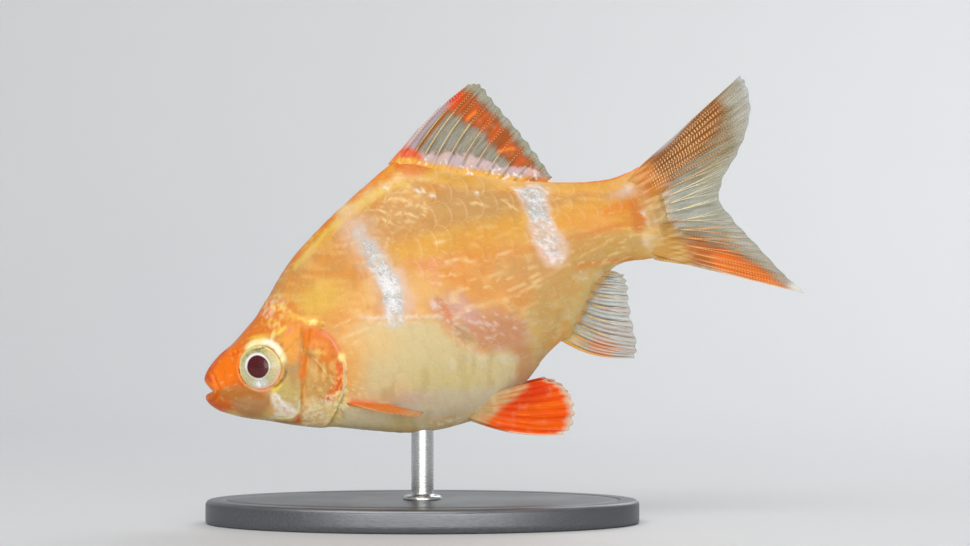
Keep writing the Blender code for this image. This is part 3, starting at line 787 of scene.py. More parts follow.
def fish_colours(p):
    """The colour of skin and scales alike at body points (n, 3)."""
    c = Paint(p, "gold")
    s, h = c.s, c.h
    v = height_share(s, h)
    top, bottom, *_ = section(station_of(s, h))
    from_top, from_bottom = top - h, h - bottom
    cloud = fractal(p, 5.0, 21)
    fine = fractal(p, 1.3, 23)

    # broad tones from the back to the belly
    c.lay(smooth(0.50, 0.82, v + 0.10 * (cloud - 0.5)) * 0.80, "tan")
    c.lay(bump_at(v - 0.60 - 0.05 * (cloud - 0.5), 0.11) * 0.45, "gold")
    c.lay(smooth(0.44, 0.24, v + 0.08 * (cloud - 0.5)) * 0.85, "belly")
    c.lay(smooth(0.45, 0.75, cloud) * 0.22, "gold light")
    c.lay(smooth(0.50, 0.80, fine) * 0.20, "gold deep")
    brush = strokes_field(p, -22.0, 0.42, 1.7, 211)
    brush2 = strokes_field(p, 66.0, 0.55, 1.6, 212)
    c.lay(smooth(0.56, 0.80, brush) * 0.50, "gold light")
    c.lay(smooth(0.44, 0.22, brush) * 0.42, "gold deep")
    c.lay(smooth(0.58, 0.80, brush2) * 0.30, "apricot")
    c.lay(smooth(0.42, 0.20, brush2) * smooth(0.35, 0.6, v) * 0.35, "tan dull")
    # shoulder
    c.area([(286, 292), (330, 240), (352, 232), (372, 300), (352, 330), (316, 322), (292, 310)], "gold deep", 0.26, 1.2)
    c.blob(318, 300, 26, 16, "nape yellow", 0.45, 20, 0.7)
    c.blob(356, 305, 14, 20, "gold light", 0.35, 0, 0.8)
    # tan, see-through back above the spine
    c.area([(350, 232), (385, 206), (440, 192), (500, 194), (545, 196), (545, 212), (500, 224), (440, 236), (400, 244), (372, 246)], "tan", 0.60, 1.0)
    c.area([(440, 196), (505, 196), (512, 214), (450, 222)], "tan dull", 0.50, 0.9)
    c.stroke([(376, 262), (420, 250), (470, 238), (540, 224), (600, 212), (636, 206)], 27, "spine", 0.62, 0.8, 0.35, 1.6, 0.10)
    c.stroke([(392, 268), (440, 262), (500, 256), (552, 246)], 12, "gold deep", 0.40, 0.9)
    c.stroke([(400, 262), (436, 259), (470, 252)], 4, "salmon", 0.40, 0.9, broken=0.4)
    # flank below the lateral line
    c.blob(424, 290, 24, 18, "gold light", 0.60, 0, 0.8)
    c.blob(466, 270, 26, 13, "gold deep", 0.55, 0, 0.9, 0.5)
    c.blob(478, 244, 40, 11, "gold", 0.55, 8, 0.9, 0.5)
    c.area([(498, 262), (530, 252), (566, 262), (566, 292), (540, 304), (508, 296)], "tan dull", 0.50, 1.4, 0.6)
    c.blob(560, 262, 34, 14, "tan dull", 0.45, 8, 0.8)
    c.blob(520, 300, 20, 12, "orange", 0.28, -20, 0.9, 0.5)
    c.stroke([(420, 262), (421, 279)], 7, "salmon", 0.40, 0.9, 0.2, 0.5, 0.2)
    c.stroke([(431, 258), (433, 276), (435, 290)], 8, "salmon", 0.42, 0.9, 0.2, 0.5, 0.2)
    c.stroke([(400, 268), (408, 266), (430, 262), (470, 262)], 4, "salmon", 0.38, 0.9, 0.3, 0.6, 0.2, 0.5)
    # belly
    c.area([(350, 326), (400, 322), (438, 321), (446, 336), (471, 351), (512, 353), (519, 362), (516, 380), (494, 400), (466, 411),
            (420, 415), (380, 412), (352, 402), (346, 360)], "belly pale", 0.85, 0.7)
    c.blob(350, 362, 15, 40, "apricot", 0.70, 0, 0.7)
    belly = smooth(0.30, 0.22, v) * smooth(14, 18, s)
    c.lay(smooth(0.54, 0.74, brush) * belly * 0.45, "belly grey")
    c.lay(smooth(0.46, 0.28, brush2) * belly * 0.45, "olive")
    c.lay(smooth(0.52, 0.74, fine) * belly * 0.35, "cream")
    c.blob(372, 342, 22, 16, "gold light", 0.45, 0, 0.8)
    c.blob(455, 380, 40, 20, "belly", 0.45, -8, 0.7)
    c.area([(388, 400), (430, 392), (480, 388), (520, 380), (508, 402), (470, 414), (420, 418)], "belly grey", 0.62, 0.8)
    c.blob(410, 400, 22, 8, "lilac", 0.30, 0, 0.8)
    # viscera seen through the flank
    c.area([(434, 294), (448, 296), (470, 304), (500, 310), (524, 318), (530, 334), (520, 350), (494, 351), (468, 348), (448, 334), (440, 316)],
           "viscera", 0.55, 0.9, 0.7, 1.0)
    c.area([(450, 294), (468, 300), (476, 314), (472, 328), (458, 318), (450, 306)], "lilac", 0.55, 0.8, 0.5, 0.8)
    c.area([(470, 322), (500, 318), (526, 326), (524, 346), (500, 350), (476, 340)], "viscera deep", 0.55, 0.8, 0.6, 0.8)
    c.stroke([(456, 322), (463, 332), (470, 345)], 9, "mud", 0.55, 0.8, 0.3, 0.6, 0.2)
    c.stroke([(434, 295), (438, 301), (444, 310)], 5.0, "viscera deep", 0.70, 0.8, 0.2, 0.5, 0.2)
    c.stroke([(441, 307), (447, 314), (453, 320)], 4.6, "deep orange", 0.42, 0.9, 0.2, 0.5, 0.25)
    c.stroke([(450, 318), (460, 326), (472, 332)], 2.4, "pink white", 0.55, 0.8, 0.15, 0.5, 0.2, 0.3)
    c.stroke([(447, 328), (456, 338), (464, 346), (476, 352)], 2.2, "pink white", 0.45, 0.8, 0.2, 0.5, 0.2, 0.4)
    c.blob(434, 305, 4.0, 3.2, "pink white", 0.75, -40, 0.6, 0.2, 0.4)
    inner = smooth(-0.3, 0.6, inside(px_line([(434, 294), (470, 303), (524, 318), (530, 334), (500, 351), (448, 334)], 60, closed=True), s, h))
    c.lay(threads(p, -50.0, 0.55, 1.8, 213, 0.06) * inner * smooth(0.40, 0.60, cloud) * 0.55, "pink white")
    c.lay(threads(p, -8.0, 0.5, 1.6, 214, 0.05) * inner * smooth(0.42, 0.6, fine) * 0.50, "cream")
    c.area([(514, 350), (530, 346), (534, 362), (528, 384), (514, 390), (518, 368)], "viscera deep", 0.60, 0.6, 0.4)
    # towards the vent and the tail
    c.area([(532, 300), (566, 268), (590, 262), (572, 300), (556, 340), (540, 366), (530, 380), (534, 346)], "rear", 0.60, 1.0)
    c.area([(496, 400), (530, 378), (552, 352), (560, 350), (540, 386), (512, 408)], "rear belly", 0.70, 0.6)
    c.stroke([(520, 392), (540, 370), (556, 344), (572, 318)], 5, "orange", 0.42, 0.9, ends=0.2)
    c.area([(556, 238), (600, 230), (645, 238), (650, 262), (610, 268), (575, 268)], "stalk olive", 0.68, 0.8)
    c.blob(600, 215, 46, 10, "stalk orange", 0.42, 9, 0.8)
    c.stroke([(557, 243), (590, 233), (628, 223)], 3.5, "deep orange", 0.45, 0.9, broken=0.35)
    c.stroke([(598, 214), (622, 206), (642, 200)], 9, "orange", 0.45, 0.8)
    c.blob(628, 188, 16, 9, "pink white", 0.44, 20, 0.95, 0.5, 0.6)
    c.blob(628, 187, 5, 5, "white", 0.30, 20, 0.9, 0.4, 0.5)
    c.stroke([(632, 197), (638, 214), (642, 234)], 11, "base orange", 0.70, 0.7, 0.3)
    c.stroke([(644, 206), (646, 216), (650, 230)], 3.2, "white", 0.55, 0.9, 0.35, 0.4, 0.3, 0.6)
    c.stroke([(644, 234), (649, 246), (652, 256)], 5, "pink white", 0.32, 0.95, 0.35, 0.5, 0.3, 0.4)
    c.area([(641, 170), (652, 180), (657, 198), (654, 210), (647, 202), (643, 186)], "base orange", 0.62, 0.6)
    c.stroke([(572, 270), (600, 262), (636, 260), (660, 260)], 4, "orange", 0.50, 0.8, ends=0.1)
    tail_root(c)
    # the belly's lower edge painted paler to lift the shade of the underside, with cream specks
    c.lay(smooth(1.6, 0.3, from_bottom + 0.5 * (fine - 0.5)) * smooth(9.0, 13, s) * smooth(31, 25, s) * 0.40, "cover pale")
    specks = smooth(0.60, 0.70, noise(p * [1, 1, 1.7], 0.42, 71)) * smooth(0.45, 0.62, noise(p, 1.7, 72))
    c.lay(specks * smooth(1.9, 0.9, from_bottom) * smooth(12, 17, s) * smooth(32, 27, s) * 0.85, "cream")

    # back: gold band under a thin bright orange rim
    band = smooth(13.0, 17.0, s) * smooth(58, 45, s)
    deep = 1.75 + 0.65 * bump_at(s - 27.0, 5.0) - 0.5 * smooth(38, 46, s)
    c.lay(smooth(deep + 0.55, deep - 0.35, from_top + 0.7 * (fine - 0.5)) * band * 0.92, "back band")
    c.lay(smooth(deep + 0.2, deep - 0.2, from_top + 0.9 * (fine - 0.5)) * band * smooth(0.45, 0.65, cloud) * 0.55, "back pale")
    c.lay(smooth(0.50, 0.12, from_top + 0.25 * (fine - 0.5)) * smooth(8.0, 12.0, s) * smooth(28, 24, s) * 0.90, "rim")
    c.lay(smooth(0.42, 0.08, from_top + 0.2 * (fine - 0.5)) * smooth(39, 42, s) * 0.75, "rim")
    c.stroke([(288, 264), (298, 252), (310, 239), (324, 224), (338, 210), (350, 199)], 8.5, "bright rim", 0.80, 0.6, 0.14, 0.5, 0.04, 0.12)
    c.stroke([(292, 271), (302, 258), (314, 245), (328, 231), (342, 220)], 3.4, "nape yellow", 0.72, 0.8, 0.16, 0.5, 0.06, 0.25)
    c.stroke([(300, 251), (312, 238), (322, 228)], 2.4, "yellow", 0.60, 0.8, 0.2, 0.4, 0.1, 0.5)
    c.stroke([(352, 207), (364, 200), (380, 192), (396, 187), (414, 185)], 6.0, "nape yellow", 0.55, 0.8, 0.25, 0.6, 0.10, 0.3)
    c.blob(359, 193, 13, 5.0, "bright rim", 0.78, 42, 0.8, 0.4, 0.6)
    c.blob(343, 209, 9, 4, "back pale", 0.80, 45, 0.6, 0.3, 0.6)
    c.blob(382, 177, 16, 5.5, "bright rim", 0.70, 36, 0.8, 0.4, 0.6)
    c.area([(392, 168), (408, 176), (440, 180), (470, 184), (466, 176), (436, 168), (400, 158)], "spine", 0.55, 0.7, 0.4, 0.6)
    c.stroke([(440, 176), (470, 182), (505, 188)], 6, "tan dull", 0.40, 0.9, 0.3, 0.6, 0.2, 0.3)
    c.area([(396, 164), (404, 150), (424, 150), (432, 160), (428, 170), (408, 176)], "fin root red", 0.55, 0.6)
    c.stroke([(392, 168), (410, 160), (424, 152)], 7, "red orange", 0.55, 0.8)
    c.stroke([(432, 168), (470, 170), (510, 176), (548, 182)], 9, "back pale", 0.60, 0.8)
    # painted highlights: streaks that follow the lie of the scales over the back
    row = (from_top * 1.0 + 0.55 * s) / 1.72
    streak = smooth(0.86, 0.97, 1 - np.abs((row + 0.9 * (fine - 0.5)) % 1.0 - 0.5) * 2 * 0.9)
    c.lay(streak * smooth(0.50, 0.62, v) * smooth(19, 24, s) * smooth(44, 38, s) * smooth(0.42, 0.62, cloud) * 0.42, "back pale")

    # first white bar
    c.stroke([(364, 276), (369, 290), (371, 306)], 13, "gold light", 0.62, 0.9, 0.4, 0.8, 0.15, 0.15)
    c.stroke([(392, 266), (402, 282), (408, 298), (409, 312)], 12, "bar pink", 0.62, 0.9, 0.4, 0.8, 0.15, 0.15)
    c.stroke([(352, 219), (361, 239), (374, 259), (386, 279), (393, 299), (397, 322)], 31, "bar pink", 0.62, 0.75, 0.42, 0.9, 0.05, 0.25)
    c.stroke([(357, 226), (362, 237), (370, 251), (378, 264)], 15, "bar", 0.86, 0.70, 0.40, 0.6, 0.12, 0.35)
    c.stroke([(372, 254), (380, 268), (387, 280), (393, 299), (396, 320)], 20, "bar", 0.95, 0.50, 0.36, 0.8, 0.10, 0.12)
    c.stroke([(381, 272), (387, 284), (392, 298), (395, 312)], 11, "thread", 0.60, 0.8, 0.4, 0.6, 0.15, 0.2)
    c.stroke([(364, 238), (371, 252), (379, 268)], 8, "bar blue", 0.55, 0.8, 0.4, 0.5, 0.2, 0.4)
    c.blob(350, 222, 9, 10, "bar pink", 0.45, 0, 0.8, 0.3)
    d, _ = distance_to(px_line([(356, 228), (362, 241), (375, 260), (387, 279), (393, 299), (396, 320)], 60), s, h)
    on = smooth(1.15, 0.55, np.abs(d) + 0.5 * (noise(p, 0.55, 215) - 0.5)) * smooth(6.6, 5.4, h) * smooth(-4.6, -3.9, h)
    c.lay(threads(p, -58.0, 0.30, 1.1, 216, 0.14) * on * 0.50, "thread")
    c.lay(smooth(0.56, 0.68, noise(p * [1, 1, 1.3], 0.40, 217)) * on * 0.45, "tan dull")
    c.lay(smooth(0.58, 0.70, noise(p, 0.34, 218)) * on * smooth(-2.2, 0.5, h) * 0.70, "bar blue")
    c.lay(smooth(0.60, 0.74, noise(p * [1, 1, 1.4], 0.28, 219)) * on * 0.50, "thread")
    # second white bar
    c.area([(516, 187), (546, 186), (548, 204), (554, 222), (564, 240), (568, 252), (560, 266), (546, 264), (537, 248), (532, 236), (529, 218), (524, 204)],
           "bar pink", 0.68, 0.45, 0.4, 0.8)
    c.area([(520, 188), (542, 187), (545, 204), (550, 220), (558, 240), (560, 256), (550, 262), (541, 248), (536, 234), (532, 218), (526, 204)],
           "bar", 0.88, 0.35, 0.4, 0.7)
    c.area([(522, 196), (540, 196), (544, 214), (534, 216)], "bar blue", 0.55, 0.5, 0.3)
    c.area([(530, 222), (552, 222), (562, 240), (562, 258), (550, 264), (538, 250), (531, 236)], "bar pink", 0.66, 0.5, 0.5, 0.6)
    c.blob(548, 254, 10, 8, "salmon", 0.28, -20, 0.8, 0.5, 0.5)
    g = inside(px_line([(518, 188), (545, 187), (548, 204), (553, 221), (562, 240), (562, 260), (550, 263), (538, 247), (532, 234), (529, 218), (522, 203)], 88, closed=True), s, h)
    on = smooth(-0.25, 0.35, g + 0.5 * (noise(p, 0.55, 220) - 0.5))
    c.lay(threads(p, -68.0, 0.30, 1.1, 221, 0.13) * on * 0.52, "thread")
    c.lay(smooth(0.56, 0.68, noise(p * [1, 1, 1.3], 0.42, 222)) * on * 0.45, "bar blue")
    c.lay(smooth(0.60, 0.70, noise(p, 0.36, 223)) * on * 0.40, "tan dull")
    c.lay(smooth(0.60, 0.74, noise(p * [1, 1, 1.4], 0.28, 224)) * on * 0.50, "thread")

    # ---------------- head
    head = smooth(13.6, 11.2, s + 0.25 * np.maximum(h - 1.0, 0) * -1.0)
    c.area([(262, 306), (286, 300), (300, 312), (304, 330), (296, 345), (290, 332), (276, 334), (262, 346), (244, 352), (236, 345)], "forehead", 0.85, 0.7)
    c.blob(288, 322, 13, 7, "apricot", 0.65, 20, 0.8)
    c.area([(200, 372), (214, 356), (232, 344), (246, 344), (242, 356), (240, 372), (245, 385), (240, 396), (216, 396), (206, 384)], "snout", 0.98, 0.5)
    c.blob(240, 386, 9, 6, "jaw", 0.60, -20, 0.8)
    c.area([(202, 378), (204, 368), (212, 359), (222, 351), (226, 354), (217, 362), (212, 371), (210, 382)], "snout red", 0.80, 0.35)
    c.stroke([(222, 350), (236, 338), (248, 326), (262, 307), (270, 292)], 7, "snout red", 0.55, 0.8, ends=0.0)
    c.stroke([(224, 346), (235, 337), (246, 325), (259, 308), (267, 294)], 3.0, "dark line", 0.70, 0.7, 0.05, ends=0.1)
    c.stroke([(238, 340), (252, 326), (266, 306)], 14, "orange", 0.50, 0.8, ends=0.1)
    c.area([(198, 400), (206, 392), (217, 391), (234, 396), (240, 408), (224, 413), (208, 406)], "jaw", 0.96, 0.4)
    c.stroke([(203, 399), (211, 403), (222, 409)], 6, "lip", 0.75, 0.7, ends=0.05)
    c.area([(222, 392), (240, 386), (258, 392), (272, 396), (270, 410), (252, 418), (236, 412), (230, 400)], "cheek brown", 0.82, 0.5)
    c.area([(214, 391), (232, 388), (246, 392), (262, 394), (262, 399), (240, 399), (226, 398)], "under eye", 0.70, 0.4)
    c.area([(232, 402), (250, 398), (262, 404), (262, 416), (246, 414)], "cheek", 0.45, 0.5)
    c.area([(282, 362), (296, 358), (300, 372), (299, 392), (290, 398), (276, 396), (272, 390), (280, 382)], "cheek green", 0.78, 0.45)
    c.area([(284, 360), (296, 358), (300, 368), (300, 380), (292, 384), (286, 374)], "cheek", 0.60, 0.45)
    c.area([(284, 328), (300, 328), (300, 346), (298, 362), (290, 364), (284, 352)], "apricot", 0.80, 0.4)
    c.blob(289, 331, 4, 4, "salmon", 0.55, 0, 0.8, 0.2, 0.5)
    c.blob(282, 345, 2.6, 3.4, "brown", 0.45, 0, 0.8, 0.2, 0.4)
    c.area([(270, 394), (280, 398), (291, 404), (300, 398), (300.5, 410), (296, 417), (284, 418.5), (272, 416), (276, 410), (271, 402)], "cream", 0.92, 0.30, 0.45, 0.5)
    near = smooth(1.9, 1.2, np.hypot(s - px_to_body(285, 408)[0], h - px_to_body(285, 408)[1]))
    c.lay(near * smooth(0.56, 0.70, noise(p, 0.38, 244)) * 0.55, "cheek green")
    c.lay(near * smooth(0.60, 0.72, noise(p, 0.30, 245)) * 0.50, "nape pink")
    c.area([(281, 397), (292, 394), (299, 396), (299, 408), (292, 407)], "cheek green", 0.50, 0.3)
    c.stroke([(274, 391), (280, 401), (288, 409), (297, 412)], 3.5, "white", 0.70, 0.7, 0.15, 0.4, 0.15, 0.35)
    c.stroke([(299.8, 398), (299.6, 408), (295, 416), (284, 418.6), (272, 417)], 2.6, "cream yellow", 0.85, 0.5, 0.03)
    c.stroke([(272, 420.5), (286, 422), (297, 421), (303, 412)], 3.2, "brown", 0.55, 0.7)
    c.stroke([(302, 346), (303, 370), (303.5, 396), (303, 410)], 6, "cheek brown", 0.55, 0.8)
    c.stroke([(302, 340), (303.5, 355), (303, 372), (302, 384)], 7, "orange", 0.80, 0.7, ends=0.15)
    c.blob(299, 419, 5, 4, "red orange", 0.65, 0, 0.7)
    # round the eye
    c.stroke([(244, 352), (252, 344), (262, 342), (272, 344), (281, 353), (284, 366)], 6.5, "cream yellow", 0.95, 0.6, 0.04, ends=0.12)
    c.stroke([(260, 340.5), (269, 342), (276, 347.5), (280.5, 356)], 5.6, "white", 0.62, 0.7, 0.05)
    c.blob(273.2, 336.5, 1.9, 6.5, "cream yellow", 0.62, -10, 0.7, 0.15, 0.5)
    c.blob(258, 337, 10, 3.5, "nape yellow", 0.60, 10, 0.7)
    c.stroke([(249, 385), (256, 389), (264, 390.5), (272, 388.5)], 4.2, "salmon", 0.75, 0.6, ends=0.15)
    c.stroke([(281, 382), (277, 388), (271, 393)], 5, "yellow", 0.80, 0.7)
    # painted shade along the crease under and behind the eye
    c.stroke([(286, 366), (285, 376), (279, 384), (272, 388)], 2.6, "dark line", 0.62, 0.7, 0.04)
    c.stroke([(240, 362), (240, 374), (245, 384)], 3.5, "mauve", 0.35, 0.8)
    c.stroke([(246, 336), (262, 332), (270, 326)], 4, "deep orange", 0.35, 0.8, broken=0.5)
    # nape sparkle and the yellow line over the gill cover
    c.blob(270, 309, 6, 9, "nape pink", 0.80, -30, 0.6, 0.4, 0.5)
    c.blob(281, 305, 6, 6, "nape pink", 0.50, 0, 0.6, 0.4, 0.4)
    c.stroke([(278, 303), (287, 311), (294, 317)], 4.5, "yellow", 0.80, 0.8, 0.3, 0.5, 0.2, 0.35)
    c.stroke([(271, 337), (280, 330), (287, 326)], 4.5, "nape yellow", 0.85, 0.7, 0.12, 0.4, 0.1, 0.3)
    c.stroke([(287, 312), (300, 319), (316, 322), (330, 324)], 3.6, "yellow", 0.75, 0.8, 0.25, 0.5, 0.15, 0.45)
    nape = smooth(2.2, 1.0, np.hypot(s - px_to_body(276, 312)[0], (h - px_to_body(276, 312)[1]) * 0.8) + 0.6 * (fine - 0.5))
    c.lay(smooth(0.56, 0.68, noise(p, 0.36, 241)) * nape * 0.75, "nape pink")
    c.lay(smooth(0.58, 0.70, noise(p, 0.40, 242)) * nape * 0.65, "yellow")
    c.lay(smooth(0.60, 0.72, noise(p, 0.34, 243)) * nape * 0.50, "deep orange")
    c.blob(313, 322, 4.5, 2.6, "sparkle", 0.95, 0, 0.5, 0.15, 0.4)
    c.blob(286, 318, 14, 7, "gold", 0.55, 15, 0.7)
    # gill cover
    g = inside(COVER_AREA, s, h)
    on = smooth(-0.10, 0.15, g)
    c.lay(on * 0.92, "cover tan")
    c.lay(on * smooth(0.50, 0.72, strokes_field(p, 70.0, 0.40, 1.3, 231)) * 0.45, "gold light")
    c.lay(on * smooth(0.50, 0.28, strokes_field(p, 70.0, 0.40, 1.3, 231)) * 0.35, "cover olive")
    c.area([(301, 330), (312, 327), (322, 330), (330, 338), (332, 346), (318, 349), (306, 347), (301, 341)], "orange", 0.85, 0.3)
    c.area([(316, 334), (328, 335), (338, 348), (339, 357), (328, 359), (318, 353)], "ear orange", 0.85, 0.35)
    c.area([(303, 330), (313, 328), (322, 333), (320, 342), (306, 342)], "ear orange", 0.60, 0.4)
    round_ear = bump_at(np.hypot(s - px_to_body(328, 347)[0], h - px_to_body(328, 347)[1]), 1.3) * smooth(-0.3, 0.3, g)
    c.lay(smooth(0.52, 0.70, fractal(p, 0.34, 81)) * round_ear * 0.55, "brown")
    c.lay(smooth(0.52, 0.72, fractal(p * [1, 1, 1.3], 0.46, 82)) * round_ear * 0.42, "apricot")
    c.stroke([(305, 346), (312, 343), (322, 344), (330, 349)], 4.0, "apricot", 0.60, 0.8, 0.3, 0.5, 0.2, 0.3)
    c.blob(312, 354, 6.5, 2.8, "brown", 0.60, 0, 0.9, 0.3, 0.4)
    c.blob(318, 352, 8, 2.2, "yellow", 0.45, 0, 0.7, 0.2, 0.4)
    c.stroke([(303, 352), (304, 366), (305, 380)], 8, "orange", 0.72, 0.8)
    c.area([(310, 366), (322, 374), (328, 386), (324, 404), (310, 402), (308, 384)], "cover olive", 0.42, 0.7)
    c.blob(314, 372, 4, 8, "back pale", 0.22, 20, 0.8)
    # painted shade just below the opercle's low ridge, and a painted highlight along its top
    c.stroke([(309.6, 356), (317.4, 364), (328.4, 379)], 1.8, "dark line", 0.32, 0.9, 0.10, 0.5, 0.25, 0.4)
    c.stroke([(310, 354.6), (318.4, 362.4), (329.6, 377.4)], 1.8, "cream yellow", 0.28, 0.9, 0.10, 0.5, 0.25, broken=0.5)
    c.stroke([(340, 359), (340.5, 374), (337.5, 387), (331, 397), (326, 403)], 9.4, "red orange", 0.82, 0.6, 0.14, 0.5, 0.12, 0.05)
    c.stroke([(337.6, 364), (338.2, 376), (334.6, 388), (328, 399)], 2.8, "apricot", 0.50, 0.8, 0.2, 0.4, 0.15, 0.4)
    c.stroke([(342.4, 372), (341.6, 384), (337, 396), (331, 407)], 2.2, "yellow", 0.60, 0.8, 0.2, 0.4, 0.1, 0.5)
    c.stroke([(335, 376), (332, 388), (327, 397)], 2.4, "salmon", 0.40, 0.8, broken=0.5)
    c.stroke([(320, 331), (330, 337), (337, 347), (341, 356)], 4.6, "salmon", 0.62, 0.7, 0.1)
    c.stroke([(341.2, 352), (343.9, 362), (345.0, 376), (344.0, 390), (338.2, 405), (330.2, 418), (324, 427)], 2.8, "cream yellow", 0.80, 0.6, 0.06, ends=0.05, broken=0.25)
    c.stroke([(344.4, 372), (344.0, 388), (339.4, 402), (332, 415)], 2.2, "cream", 0.60, 0.7, 0.1, ends=0.1, broken=0.3)
    c.blob(341.5, 357, 3.4, 4.2, "sparkle", 0.85, 0, 0.6, 0.1, 0.4)
    # the lower gill cover's own pale cream, painted lighter still to lift the shade under the head
    c.area([(303, 404), (314, 400), (326, 402), (334, 402), (333, 414), (324, 428), (306, 428), (302, 418)], "cover pale", 0.76, 0.6)
    low = smooth(-0.1, 0.3, g) * smooth(-5.2, -6.4, h)
    wrinkle = cover_wrinkles(s, h, p)
    c.lay(low * wrinkle * 0.62, "cream")
    c.lay(low * smooth(0.60, 0.75, noise(p, 0.5, 232)) * (1 - wrinkle) * 0.20, "brown")
    c.stroke([(334, 398), (340, 396), (336, 410), (328, 418)], 4, "yellow", 0.60, 0.8, 0.2, 0.4, 0.1, 0.4)
    c.blob(335, 412, 2.6, 2.4, "brown", 0.60, 0, 0.6)
    c.stroke([(258, 418), (280, 425), (302, 430), (330, 434)], 4, "olive", 0.40, 0.8)
    c.area([(340, 398), (352, 400), (392, 410), (396, 424), (370, 432), (328, 430), (332, 414)], "cover pale", 0.72, 0.5, 0.5, 0.6)
    c.lay(smooth(0.58, 0.70, noise(p * [1, 1, 1.5], 0.42, 233)) * bump_at(np.hypot(s - px_to_body(344, 414)[0], (h - px_to_body(344, 414)[1]) * 0.7), 2.2) * 0.35, "olive deep")
    c.lay(smooth(0.60, 0.72, noise(p * [1, 1, 1.5], 0.36, 234)) * bump_at(np.hypot(s - px_to_body(346, 412)[0], (h - px_to_body(346, 412)[1]) * 0.7), 2.4) * 0.80, "cream yellow")
    # painted light: belly pale and cream laid over the throat, lifting the shade under the pectoral fin and the
    # underside
    c.area([(346, 409), (372, 411), (404, 416), (432, 421), (420, 428), (380, 430), (344, 430)], "belly pale", 0.50, 0.5, 0.3)
    c.area([(346, 409), (366, 410), (392, 414), (380, 424), (346, 426)], "cream", 0.34, 0.6, 0.5, 0.6)
    c.stroke([(349, 401.5), (362, 404), (378, 405.5)], 7.5, "salmon", 0.80, 0.6, 0.12, ends=0.06)
    # thin bright reflections of the scale rows: dashes along the body
    dash = smooth(0.66, 0.76, noise(p * [0.32, 0.6, 2.6], 0.40, 91)) * smooth(0.40, 0.60, noise(p, 2.6, 92))
    c.lay(dash * smooth(14, 17, s) * smooth(52, 48, s) * (0.22 + 0.28 * bump_at(h + 0.6 + 0.05 * (s - 20), 1.5)), "back pale")
    c.stroke([(356, 317.2), (382, 317.6), (404, 316.8), (424, 316.4), (446, 316.6)], 2.8, "cream", 0.62, 0.95, 0.02, 0.8, 0.10, 0.10)
    c.stroke([(362, 322.6), (390, 323.4), (410, 322.6), (424, 322)], 2.4, "cream", 0.34, 0.95, 0.02, 0.8, 0.12, 0.20)
    c.blob(396, 323, 8, 5, "bar", 0.50, 0, 0.8, 0.3, 0.5)
    c.stroke([(446, 318), (480, 306), (520, 292), (570, 262), (620, 236)], 2.2, "back pale", 0.35, 0.6, 0.08, 0.5, 0.1, 0.6)
    for a, b in (((414, 190), (423, 194)), ((440, 184), (444, 189)), ((473, 191), (479, 196)), ((427, 195), (437, 198)), ((384, 186), (388, 190)),
                 ((510, 188), (520, 191)), ((421, 189), (425, 192))):
        c.stroke([a, ((a[0] + b[0]) / 2 + 0.6, (a[1] + b[1]) / 2 - 0.5), b], 2.2, "cream", 0.95, 0.7, 0.12, 0.4, 0.25)
    for a, m, b in (((362, 213), (374, 209), (394, 214)), ((383, 200), (396, 198), (412, 203)), ((392, 216), (406, 213), (420, 219)), ((372, 217), (384, 219), (396, 226)),
                    ((404, 205), (416, 205), (428, 210)), ((424, 199), (425, 210), (423, 218)), ((454, 205), (474, 203), (492, 208)),
                    ((432, 244), (441, 242)) + ((450, 241),), ((431, 284), (436, 283), (442, 284)), ((438, 277), (448, 274), (457, 274)),
                    ((462, 264), (486, 258), (514, 250)), ((440, 262), (462, 259), (476, 260)), ((400, 228), (408, 222), (414, 214)), ((500, 198), (512, 206), (522, 214))):
        c.stroke([a, m, b], 1.9, "back pale", 0.75, 0.7, 0.12, 0.4, 0.2, 0.25)
    # pores and speckle on the head
    dots = smooth(0.70, 0.80, noise(p, 0.30, 95))
    c.lay(dots * head * 0.12, "brown")
    c.lay(smooth(0.74, 0.84, noise(p, 0.36, 96)) * head * 0.10, "cream yellow")
    # the open mouth's lining, laid here with a weight of 0, so it changes nothing
    inner = smooth(0.9, 1.5, s) * smooth(1.0, 0.7, np.abs(c.p[..., 1])) * smooth(-3.2, -2.4, h) * smooth(0.3, -0.3, h) * smooth(3.0, 2.4, s)
    c.lay(inner * 0.0, "brown")
    return np.clip(c.rgb, 0.0, 1.0)


